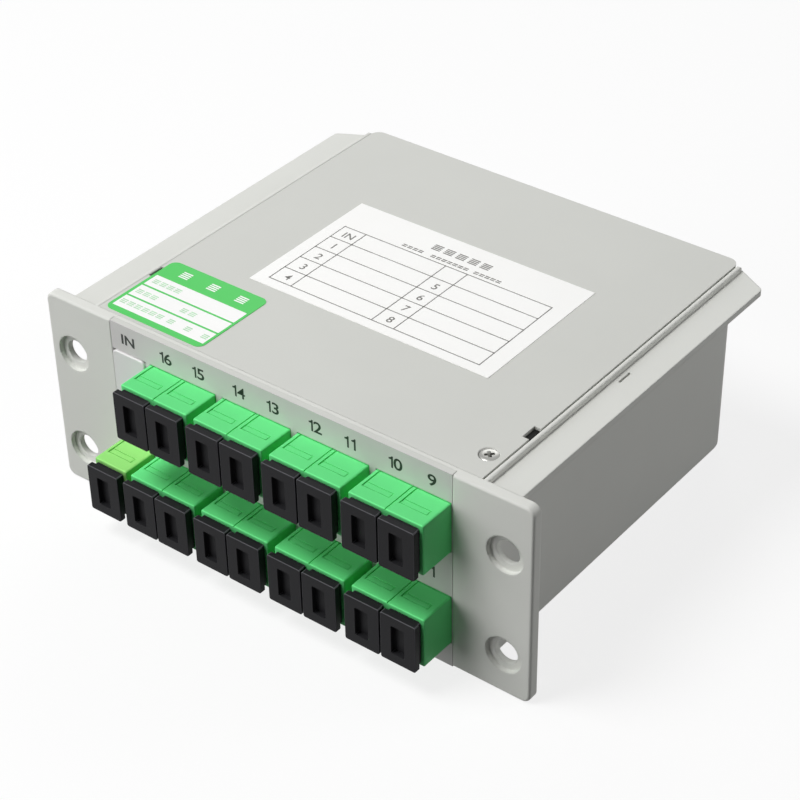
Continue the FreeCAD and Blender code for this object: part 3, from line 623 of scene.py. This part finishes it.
# ---- operators
class CASSETTE_OT_shells(bpy.types.Operator):
    """Give the housing, cover, port plate and film their finishes, and put painted shade under the
    snap windows
    """
    bl_idname = "cassette.shells"
    bl_label = "Shells and film"

    def execute(self, context):
        body = moulded("housing grey ABS", finish_of("body"), 0.5, edge=0.5, shine=0.22)
        cover = moulded("cover grey ABS", finish_of("cover"), 0.52, shine=0.22)
        for name, material in (("housing", body), ("port_plate", cover), ("top_cover", cover),
                               ("port_film", label_film("port film", finish_of("film")))):
            paint(NODES[name], material)
        middle = FACE + LATCH_BEHIND

        # painted shade: dark blocks under the snap windows stand in for the shade in the hollows
        # beneath them
        def inserts(bm):
            for edge, side in ((COVER_LOW.x, 1), (COVER_HIGH.x, -1)):
                x0, x1 = sorted(edge + side * x for x in (LATCH_FIT, LATCH_WIDE - LATCH_FIT))
                half = LATCH_LONG / 2 - LATCH_FIT
                add_box(bm, (x0, middle - half, COVER_LOW.z),
                        (x1, middle + half, TOP - LATCH_FLOOR), ("y", LATCH_ROUND))

        dark = new_piece("latch_inserts", inserts)
        paint(dark, moulded("dark latch", tone("1A1B1A"), 0.6, shine=0.1))
        hand_over(dark)
        return {"FINISHED"}


class CASSETTE_OT_blank(bpy.types.Operator):
    """Build the rounded plug in the unused port's opening"""
    bl_idname = "cassette.blank"
    bl_label = "Blank plug"

    def execute(self, context):
        left, right = BLANK_LOW.x, BLANK_HIGH.x
        low, high = ROW_HIGH - PORT_TALL / 2, ROW_HIGH + PORT_TALL / 2
        end = FACE + FLANGE_START + BLANK_LIP

        def face(bm):
            add_box(bm, (left, BLANK_LOW.y, low), (right, end, high), ("y", BLANK_ROUND),
                    rim=BLANK_RIM, segments=5)

        def lip(bm):
            add_box(bm, (left + BLANK_ROUND, end - BLANK_LIP, BLANK_LOW.z),
                    (right - BLANK_ROUND, end, BLANK_HIGH.z))

        def hollow(bm):
            wall = BLANK_WALL
            add_box(bm, (left + wall, FACE + wall, low + wall),
                    (right - wall, end + PAST, high - wall))

        plug = new_piece("blank_plug_moulding", face)
        combine(plug, "UNION", lip)
        combine(plug, "DIFFERENCE", hollow)
        paint(shade(plug), moulded("blank plug ABS", finish_of("blank"), 0.45))
        hand_over(plug, nodes=["blank_plug"])
        return {"FINISHED"}


def adapter_body(name, ports):
    """Adapter with one or two ports, its middle on x = 0 and z = 0."""
    half_x, half_z = ports * PORT_WIDE / 2, PORT_TALL / 2
    centres = [(k - (ports - 1) / 2) * PORT_WIDE for k in range(ports)]
    wide, tall = PORT_WIDE / 2 - SIDE_WALL, half_z - END_WALL
    wall_front, wall_back = MIDDLE - PARTITION / 2, MIDDLE + PARTITION / 2
    reach = PAIR_HIGH.z - ROW_HIGH
    lefts = [x - PORT_WIDE / 2 + GROOVE_INSET for x in centres]
    front, back = FACE - POCKET_FRONT, FACE - POCKET_BACK

    def shell(bm):
        add_box(bm, (-half_x, FRONT, -half_z), (half_x, BACK, half_z), ("y", EDGE_ROUND),
                rim=FRONT_ROUND, segments=4)

    def flange(bm):
        start = FACE + FLANGE_START
        add_box(bm, (-half_x, start, -reach), (half_x, start + FLANGE_THICK, reach),
                ("y", FLANGE_ROUND))

    def cavities(bm):
        for x in centres:
            for start, end in ((FRONT - PAST, wall_front), (wall_back, BACK + PAST)):
                add_box(bm, (x - wide, start, -tall), (x + wide, end, tall), ("y", CAVITY_ROUND))

    def grooves(bm):
        for left in lefts:
            add_box(bm, (left, FACE - POCKET_FRONT + GROOVE_SHORT, half_z - GROOVE_DEEP),
                    (left + GROOVE_WIDE, FACE + PAST, half_z + PAST))
        for x in centres[1:]:
            seam = x - PORT_WIDE / 2
            for side in (-1, 1):
                low, high = sorted((side * (half_z - SEAM_DEEP), side * (half_z + PAST)))
                add_box(bm, (seam - SEAM_WIDE / 2, FRONT - PAST, low),
                        (seam + SEAM_WIDE / 2, FACE + PAST, high))

    def gap(bm):
        add_box(bm, (-half_x - PAST, FACE - GAP_WIDE, half_z - GAP_DEEP),
                (half_x + PAST, FACE, half_z + PAST))

    def pockets(bm):
        for left in lefts:
            add_box(bm, (left, front, half_z - POCKET_DEEP),
                    (left + POCKET_WIDE, back, half_z + PAST), ("z", POCKET_ROUND))

    def pocket_lines(bm, across):
        for left in lefts:
            right, wide = left + POCKET_WIDE, POCKET_LINE
            if across:
                strips = [((left, y), (right, y + wide)) for y in (front, back - wide)]
            else:
                strips = [((x, front), (x + wide, back)) for x in (left, right - wide)]
            for low, high in strips:
                add_box(bm, (*low, half_z - POCKET_LINE_DEEP), (*high, half_z + PAST))

    def rods(bm, radius, reach):
        for x in centres:
            place = Matrix.Translation((x, MIDDLE, 0)) @ Matrix.Rotation(-pi / 2, 4, "X")
            bmesh.ops.create_cone(bm, cap_ends=True, segments=40, radius1=radius,
                                  radius2=radius, depth=PARTITION + 2 * reach, matrix=place)

    made = new_piece(name, shell)
    combine(made, "UNION", flange)
    for fill in (cavities, grooves, pockets, lambda bm: pocket_lines(bm, True),
                 lambda bm: pocket_lines(bm, False), gap):
        combine(made, "DIFFERENCE", fill)
    combine(made, "UNION", lambda bm: rods(bm, HOLDER_R, HOLDER_OUT))
    combine(made, "DIFFERENCE", lambda bm: rods(bm, SLEEVE_R, HOLDER_OUT + PAST))
    return made


def sleeve(bm):
    """Alignment sleeve around one ferrule, in the middle of a port: a thin closed ring."""
    start = MIDDLE - PARTITION / 2 - HOLDER_OUT + SLEEVE_INSET
    end = MIDDLE + PARTITION / 2 + HOLDER_OUT
    inner, chamfer = SLEEVE_R - SLEEVE_BEVEL, SLEEVE_BEVEL
    outline = [(SLEEVE_BORE_R, start), (inner, start), (SLEEVE_R, start + chamfer),
               (SLEEVE_R, end - chamfer), (inner, end), (SLEEVE_BORE_R, end)]
    turned(bm, outline, (0, 1, 0), 40, closed=True)


class CASSETTE_OT_adapters(bpy.types.Operator):
    """Build the paired adapters in two rows, the single input adapter and their sleeves"""
    bl_idname = "cassette.adapters"
    bl_label = "Adapters"

    def execute(self, context):
        # painted highlight: the adapters' rounded edges are drawn 1.2 times lighter
        green, lime = (moulded(name, finish_of(colour), rough, grain=0.9, microns=2.5,
                               spread=0.03, edge=0.1, edge_highlight_gain=1.2, shine=0.09)
                       for name, colour, rough in (("green PBT", "adapter", 0.36),
                                                   ("yellow-green PBT", "input_adapter", 0.38)))
        white = fired("zirconia", tone("F4F2EC"))

        pairs = adapter_body("adapter_pairs", 2)
        move(pairs.data, FIRST_PAIR_X, 0, ROW_LOW)
        repeat(pairs, green, PAIRS, 2, PAIR_STEP, (0, 0, ROW_STEP))
        names = [n for n in NODES if n.startswith("adapter_")]
        hand_over(shade(pairs), nodes=names)

        single = adapter_body("input_adapter_body", 1)
        move(single.data, SINGLE_X, 0, ROW_LOW)
        paint(shade(single), lime)
        hand_over(single, nodes=["input_adapter"])

        sleeves = new_piece("alignment_sleeves", sleeve)
        move(sleeves.data, -PORT_WIDE / 2, 0, 0)
        repeat(sleeves, white, 2, 1, PORT_WIDE)
        move(sleeves.data, FIRST_PAIR_X, 0, ROW_LOW)
        repeat(sleeves, white, PAIRS, 2, PAIR_STEP, (0, 0, ROW_STEP))
        hand_over(shade(sleeves), nodes=["sleeves"])
        lone = new_piece("input_sleeve", sleeve)
        move(lone.data, SINGLE_X, 0, ROW_LOW)
        paint(shade(lone), white)
        hand_over(lone)
        return {"FINISHED"}


def cap_body(name):
    """Dust cap, its middle on x = 0 and z = 0."""
    half_x, _, half_z = (CAP_HIGH - CAP_LOW) / 2
    face, seat = CAP_LOW.y, CAP_LOW.y + CAP_THICK
    plug_x, plug_z, plug_end = half_x - CAP_PLUG_INSET, half_z - CAP_PLUG_INSET_END, CAP_HIGH.y

    def flange(bm):
        add_box(bm, (-half_x, face, -half_z), (half_x, face + CAP_FLANGE, half_z),
                ("y", CAP_ROUND), rim=CAP_EDGE, segments=4)

    def neck(bm):
        inset = CAP_NECK_INSET
        add_box(bm, (-half_x + inset, face + CAP_FLANGE / 2, -half_z + inset),
                (half_x - inset, seat, half_z - inset), ("y", CAP_ROUND))

    def plug(bm):
        add_box(bm, (-plug_x, seat - CAP_PLUG_ROOT, -plug_z), (plug_x, plug_end, plug_z),
                ("y", CAP_PLUG_ROUND))

    def pits(bm):
        add_box(bm, (-PIT_WIDE / 2, face - PAST, -PIT_TALL / 2),
                (PIT_WIDE / 2, face + PIT_DEEP, PIT_TALL / 2), ("y", PIT_ROUND))
        add_box(bm, (-HOLLOW_HALF, plug_end - HOLLOW_DEEP, -HOLLOW_HALF),
                (HOLLOW_HALF, plug_end + PAST, HOLLOW_HALF), ("y", HOLLOW_ROUND))

    made = new_piece(name, flange)
    for operation, fill in (("UNION", neck), ("UNION", plug), ("DIFFERENCE", pits)):
        combine(made, operation, fill)
    return shade(made)


class CASSETTE_OT_caps(bpy.types.Operator):
    """Build one dust cap for each port, each on its own body"""
    bl_idname = "cassette.caps"
    bl_label = "Dust caps"

    def execute(self, context):
        # painted highlight: the caps' rounded edges are drawn seven times lighter, for the bright
        # lines along their top edges
        black = moulded("black polyethylene", finish_of("cap"), 0.44, grain=0.8, microns=4.0,
                        spread=0.06, edge=0.08, edge_highlight_gain=7.0, shine=0.08)
        master = cap_body("cap")
        paint(master, black)
        for name in sorted(n for n in NODES if "dust_cap" in n):
            x, _, z = node_middle(name)
            cap = placed(name + "_moulding", master.data.copy())
            move(cap.data, x, 0, z)
            hand_over(cap, body=name, nodes=[name])
        bpy.data.objects.remove(master)
        return {"FINISHED"}


class CASSETTE_OT_screws(bpy.types.Operator):
    """Build the two countersunk cover screws"""
    bl_idname = "cassette.screws"
    bl_label = "Cover screws"

    def execute(self, context):
        reach, radius, _ = (SCREWS_HIGH - SCREWS_LOW) / 2
        tip = SCREWS_LOW.z

        def blank(bm):
            outline = [(0, TOP + SCREW_CROWN), (radius * 0.55, TOP + SCREW_CROWN * 0.4),
                       (radius - SCREW_ROLL, TOP - SCREW_CROWN), (radius, TOP - SCREW_DROP),
                       (SCREW_SHANK_R, TOP - SCREW_HEAD), (SCREW_SHANK_R, tip + SCREW_TIP_LONG),
                       (SCREW_TIP_R, tip), (0, tip)]
            turned(bm, outline, (0, 0, 1), 48)

        def arm(bm, turn):
            place = Matrix.Translation((0, 0, TOP - CROSS_SINK)) @ Matrix.Rotation(turn, 4, "Z")
            narrow = Matrix.Diagonal((1, CROSS_NARROW, 1, 1)) @ Matrix.Rotation(pi / 4, 4, "Z")
            bmesh.ops.create_cone(bm, cap_ends=True, segments=4, radius1=radius * CROSS_FOOT,
                                  radius2=radius * CROSS_SPAN, depth=CROSS_TALL,
                                  matrix=place @ narrow)

        screw = new_piece("cover_screw_heads", blank)
        for turn in (pi / 4, 3 * pi / 4):
            combine(screw, "DIFFERENCE", lambda bm: arm(bm, turn))
        move(screw.data, radius - reach, node_middle("cover_screws").y, 0)
        repeat(screw, plated("nickel-plated steel", tone("9C9C98")), 2, 1, 2 * (reach - radius))
        hand_over(shade(screw), nodes=["cover_screws"])
        return {"FINISHED"}


def figure_one(height, weight):
    """Flat figure 1 with a flag, as a mesh in metres: the plain font's own is only a bar."""
    half, reach = height * 0.06 + weight, height * 0.3
    outline = [(half, 0), (half, height), (-0.5 * half, height), (-half, 0.92 * height),
               (-0.6 * reach, 0.86 * height), (-reach, 0.83 * height), (-reach, 0.7 * height),
               (-half, 0.7 * height), (-half, 0)]
    bm = bmesh.new()
    face = bm.faces.new([bm.verts.new((x, y, -PRINT_THICK / 2 * MM)) for x, y in outline])
    sides = bmesh.ops.extrude_face_region(bm, geom=[face], use_keep_orig=True)
    raised = [v for v in sides["geom"] if isinstance(v, bmesh.types.BMVert)]
    bmesh.ops.translate(bm, verts=raised, vec=(0, 0, PRINT_THICK * MM))
    return mesh_of("one", bm)


def plain_letters(body, height, weight):
    """Flat letters of the built-in font as a mesh in metres."""
    curve = bpy.data.curves.new("letters", "FONT")
    curve.body = body
    curve.size = height / FONT_CAPITAL
    curve.offset = weight
    curve.extrude = PRINT_THICK / 2 * MM
    curve.resolution_u = 6
    letters = placed("letters", curve)
    mesh = evaluated_mesh(letters)
    bpy.data.objects.remove(letters)
    return mesh


def lettering(body, height, weight, place, up, stretch=1.0, pitch=0.0):
    """Flat word as meshes: middle at place, reading along X, standing along up.

    With a pitch, each figure is set by itself, that many heights from the next.
    """
    across, up = Vector((1, 0, 0)), Vector(up)
    turn = Matrix((across, up, across.cross(up))).transposed().to_4x4()
    parts = list(body) if pitch else [body]
    meshes = []
    for k, part in enumerate(parts):
        if pitch and part == "1":
            mesh = figure_one(height, weight)
        else:
            mesh = plain_letters(part, height, weight * (FOUR_WEIGHT if part == "4" else 1))
            mesh.transform(Matrix.Diagonal((stretch, 1, 1, 1)))
        corners = [v.co for v in mesh.vertices]
        middle = [sum(pick(c[axis] for c in corners) for pick in (min, max)) / 2 for axis in (0, 1)]
        shift = (k - (len(parts) - 1) / 2) * pitch * height
        mesh.transform(Matrix.Translation((shift - middle[0], -middle[1], 0)))
        mesh.transform(Matrix.Translation(Vector(place) * MM) @ turn)
        meshes.append(mesh)
    return meshes


def join_meshes(name, meshes, material):
    """One piece out of several meshes."""
    bm = bmesh.new()
    for mesh in meshes:
        bm.from_mesh(mesh)
        bpy.data.meshes.remove(mesh)
    bmesh.ops.remove_doubles(bm, verts=bm.verts, dist=1e-7)
    bmesh.ops.recalc_face_normals(bm, faces=bm.faces)
    joined = mesh_of(name, bm)
    for face in joined.polygons:
        face.use_smooth = False
        face.material_index = 0
    made = placed(name, joined)
    paint(made, material)
    return made


class CASSETTE_OT_numbers(bpy.types.Operator):
    """Print the port numbers on the film"""
    bl_idname = "cassette.numbers"
    bl_label = "Port numbers"

    def execute(self, context):
        sizes = context.scene.cassette_print
        words = [("IN", SINGLE_X, ROW_HIGH)]
        words += [(str(n), *node_middle("dust_cap_%02d" % n).xz) for n in range(1, PORTS + 1)]
        y = FACE - PRINT_THICK / 4  # a quarter of the ink lies in the film
        meshes = []
        for word, x, z in words:
            number = word.isdigit()
            height = sizes.numeral * (1 if number else WORD_HEIGHT)
            weight = sizes.numeral_weight * (1 if number else WORD_WEIGHT)
            rise = NUMERAL_RISE + (NUMERAL_LIFT if z < ROW_LOW + ROW_STEP / 2 else 0)
            meshes += lettering(word, height, weight, (x, y, z + rise), (0, 0, 1),
                                NUMERAL_STRETCH, NUMERAL_PITCH if number else 0)
        hand_over(join_meshes("port_numbers", meshes, ink("black ink", finish_of("ink"))))
        return {"FINISHED"}


def printed_box(bm, x0, x1, y0, y1, z):
    """Thin closed patch of print on a label, half sunk into it."""
    add_box(bm, (x0, y0, z - PRINT_THICK / 2), (x1, y1, z + PRINT_THICK / 2))


def take_mesh(piece):
    mesh = piece.data
    bpy.data.objects.remove(piece)
    return mesh


def marks(row, corner, finish):
    """Mesh of a row of plain marks in place of words, each a stack of short bars."""
    across, along, size, bars, count, step = row
    rise = size / bars
    left = corner[0] + across - size / 2
    low = corner[1] + along - size / 2 + rise * (1 - BAR_SHARE) / 2

    def bar(bm):
        printed_box(bm, left, left + size, low, low + rise * BAR_SHARE, corner[2])

    piece = new_piece("marks", bar)
    repeat(piece, finish, 1, bars, 0, (0, rise, 0))
    return take_mesh(repeat(piece, finish, count, 1, step))


class CASSETTE_OT_seal_label(bpy.types.Operator):
    """Print the small green label: white fields, plain marks and pale captions"""
    bl_idname = "cassette.seal_label"
    bl_label = "Small label"

    def execute(self, context):
        paint(NODES["seal_label"], label_paper("green label", finish_of("seal"), 0.42))
        white = label_paper("white print", tone("FBFBFA"), 0.45)
        pale = ink("pale green ink", finish_of("caption"))
        left, right, z = SEAL_LOW.x, SEAL_HIGH.x, SEAL_HIGH.z

        def strips(bm):
            for low, high in SEAL_FIELDS:
                printed_box(bm, left + SEAL_LEFT, right - SEAL_RIGHT, FACE + low, FACE + high, z)

        fields = [take_mesh(new_piece("strips", strips)), marks(SEAL_TITLE, (left, FACE, z), white)]
        hand_over(join_meshes("seal_fields", fields, white))
        corner = (left, FACE, z + PRINT_THICK / 2)
        captions = [marks(row, corner, pale) for row in SEAL_CAPTIONS]
        hand_over(join_meshes("seal_captions", captions, pale))
        return {"FINISHED"}


class CASSETTE_OT_table_label(bpy.types.Operator):
    """Print the white label: a table with port figures and a plain title"""
    bl_idname = "cassette.table_label"
    bl_label = "Table label"

    def execute(self, context):
        sizes = context.scene.cassette_print
        paint(NODES["table_label"], label_paper("white label", finish_of("paper"), 0.5))
        grey = ink("grey toner", finish_of("rule"), 0.6)
        z = TABLE_HIGH.z
        left, right = TABLE_LOW.x + TABLE_LEFT, TABLE_HIGH.x - TABLE_RIGHT
        low, high = TABLE_LOW.y + TABLE_FRONT, TABLE_LOW.y + TABLE_BACK
        columns = [left + x for x in TABLE_COLUMNS] + [right]
        step = (high - low) / sizes.rows
        half = sizes.rule / MM / 2

        def across(bm):
            printed_box(bm, left - half, right + half, low - half, low + half, z)

        def along(bm):
            for x in columns:
                printed_box(bm, x - half, x + half, low, high, z)

        lines = new_piece("rules", across)
        repeat(lines, grey, 1, sizes.rows + 1, 0, (0, step, 0))
        meshes = [take_mesh(lines), take_mesh(new_piece("rules", along))]
        words = [("IN", 0, 0)] + [(str(k), 0, k) for k in range(1, sizes.rows)]
        words += [(str(k + sizes.rows - 1), 2, k) for k in range(1, sizes.rows)]
        for word, column, row in words:
            x = (columns[column] + columns[column + 1]) / 2 + FIGURE_RIGHT
            y = high - (row + 0.5) * step - FIGURE_DOWN
            meshes += lettering(word, sizes.figure, sizes.rule * FIGURE_WEIGHT, (x, y, z), (0, 1, 0))
        meshes += [marks(row, (0, TABLE_LOW.y, z), grey) for row in TABLE_TITLE]
        hand_over(join_meshes("table_print", meshes, grey))
        return {"FINISHED"}


class CASSETTE_OT_inside(bpy.types.Operator):
    """Give the splitter, connectors and fibres inside the housing their finishes"""
    bl_idname = "cassette.inside"
    bl_label = "Inner parts"

    def execute(self, context):
        green = moulded("connector green PBT", tone("2FA35A"), 0.4, edge=0.1)
        for name in NODES:
            if name.startswith("connectors_") or name == "input_connector":
                paint(NODES[name], green)
        silica = clear_silica("silica", tone("E6EEF0"))
        potting = soft_skin("black epoxy potting", tone("26262A"), 0.35, 3.0, 4.0)
        jacket = soft_skin("fibre jacket", tone("E9E4D2"), 0.45, 0.5, 2.0)
        for material, names in (
                (fired("ferrule zirconia", tone("F4F2EC")), ["ferrules"]),
                (soft_skin("green boot rubber", tone("2C9A55"), 0.6, 0.8, 6.0), ["boots"]),
                (plated("stainless case", tone("C9CBCC"), 157), ["splitter_case"]),
                (soft_skin("grey foam pad", tone("6A6C6E"), 0.9, 0.5, 60.0), ["splitter_pad"]),
                (potting, ["input_end_plug", "output_end_plug"]),
                (silica, ["splitter_chip", "input_fibre_block", "output_fibre_block"]),
                (jacket, ["input_fibre", "output_fibres"])):
            for name in names:
                paint(NODES[name], material)
        return {"FINISHED"}


def soft_box(name, place, size, power):
    """Round area lamp that looks at the cassette."""
    lamp = bpy.data.lights.new(name, "AREA")
    lamp.shape = "DISK"
    lamp.size = size
    lamp.energy = power
    made = placed(name, lamp)
    made.location = place
    made.rotation_mode = "QUATERNION"
    made.rotation_quaternion = (LAMP_AIM - Vector(place)).to_track_quat("-Z", "Y")


def seen(tree):
    """1 for rays that show the background itself: camera, glossy and transmission rays."""
    path = node(tree, "ShaderNodeLightPath").outputs
    total = path["Is Camera Ray"]
    for name in ("Is Glossy Ray", "Is Transmission Ray"):
        total = node(tree, "ShaderNodeMath", {0: total, 1: path[name]},
                     operation="MAXIMUM").outputs[0]
    return total


class CASSETTE_OT_studio(bpy.types.Operator):
    """Set up the pale floor, white background, soft lamps and camera"""
    bl_idname = "cassette.studio"
    bl_label = "Studio"

    def execute(self, context):
        scene, studio = context.scene, context.scene.cassette_studio
        bm = bmesh.new()
        bmesh.ops.create_grid(bm, x_segments=1, y_segments=1, size=FLOOR_HALF)
        mesh = mesh_of("floor", bm)
        mesh.transform(Matrix.Translation((0, 0, -FLOOR_DROP)))
        floor = placed("floor", mesh)
        pale = bpy.data.materials.new("white floor")
        pale.use_nodes = True
        tree = pale.node_tree
        shader = tree.nodes["Principled BSDF"]
        shown = seen(tree)
        tint = node(tree, "ShaderNodeMix", {"Factor": shown}, data_type="RGBA")
        tint.inputs["A"].default_value = (FLOOR_BOUNCE,) * 3 + (1,)
        tint.inputs["B"].default_value = (1, 1, 1, 1)
        tree.links.new(tint.outputs["Result"], shader.inputs["Base Color"])
        shader.inputs["Roughness"].default_value = 0.9
        glow = node(tree, "ShaderNodeEmission", {"Color": (1, 1, 1, 1), "Strength": 1.0})
        share = node(tree, "ShaderNodeMath", {0: shown, 1: FLOOR_GLOW}, operation="MULTIPLY")
        mix = node(tree, "ShaderNodeMixShader", {0: share.outputs[0], 1: shader.outputs[0],
                                                 2: glow.outputs[0]})
        tree.links.new(mix.outputs[0], tree.nodes["Material Output"].inputs["Surface"])
        paint(floor, pale)

        world = bpy.data.worlds.new("studio")
        scene.world = world
        world.use_nodes = True
        tree = world.node_tree
        around = tree.nodes["Background"]
        around.inputs["Color"].default_value = (1, 1, 1, 1)
        around.inputs["Strength"].default_value = studio.sky
        white = node(tree, "ShaderNodeBackground", {"Color": (1, 1, 1, 1), "Strength": 1.0})
        mix = node(tree, "ShaderNodeMixShader", {0: seen(tree), 1: around.outputs[0],
                                                 2: white.outputs[0]})
        tree.links.new(mix.outputs[0], tree.nodes["World Output"].inputs["Surface"])

        for name, place, size in LAMPS:
            soft_box(name, place, size, getattr(studio, name))

        camera = placed("camera", bpy.data.cameras.new("camera"))
        scene.camera = camera
        camera.data.sensor_width = SENSOR
        camera.data.lens = studio.lens
        camera.data.clip_start = NEAREST
        camera.matrix_world = (Matrix.Translation(studio.place)
                               @ Matrix.Rotation(studio.azimuth, 4, "Z")
                               @ Matrix.Rotation(pi / 2 - studio.elevation, 4, "X")
                               @ Matrix.Rotation(studio.roll, 4, "Z"))
        scene.view_settings.view_transform = "Standard"
        return {"FINISHED"}


class CASSETTE_PT_panel(bpy.types.Panel):
    """Buttons for each group of pieces and the studio"""
    bl_label = "Splitter cassette"
    bl_idname = "CASSETTE_PT_panel"
    bl_space_type = "VIEW_3D"
    bl_region_type = "UI"
    bl_category = "Splitter cassette"

    def draw(self, context):
        for group in (context.scene.cassette_finish, context.scene.cassette_print,
                      context.scene.cassette_studio):
            box = self.layout.box()
            for name in group.__annotations__:
                box.prop(group, name)
        for operator in OPERATORS:
            self.layout.operator(operator.bl_idname)


OPERATORS = (CASSETTE_OT_studio, CASSETTE_OT_shells, CASSETTE_OT_blank, CASSETTE_OT_adapters,
             CASSETTE_OT_caps, CASSETTE_OT_screws, CASSETTE_OT_numbers, CASSETTE_OT_seal_label,
             CASSETTE_OT_table_label, CASSETTE_OT_inside)
GROUPS = {"cassette_finish": CassetteFinish, "cassette_print": CassettePrint,
          "cassette_studio": CassetteStudio}


def register():
    for group in GROUPS.values():
        bpy.utils.register_class(group)
    for name, group in GROUPS.items():
        setattr(bpy.types.Scene, name, PointerProperty(type=group))
    for operator in OPERATORS:
        bpy.utils.register_class(operator)
    bpy.utils.register_class(CASSETTE_PT_panel)


def unregister():
    bpy.utils.unregister_class(CASSETTE_PT_panel)
    for operator in reversed(OPERATORS):
        bpy.utils.unregister_class(operator)
    for name, group in GROUPS.items():
        delattr(bpy.types.Scene, name)
        bpy.utils.unregister_class(group)


def main():
    """Builds everything around the frame."""
    register()
    for operator in OPERATORS:
        prefix, name = operator.bl_idname.split(".")
        getattr(getattr(bpy.ops, prefix), name)()


if __name__ == "__main__":
    main()
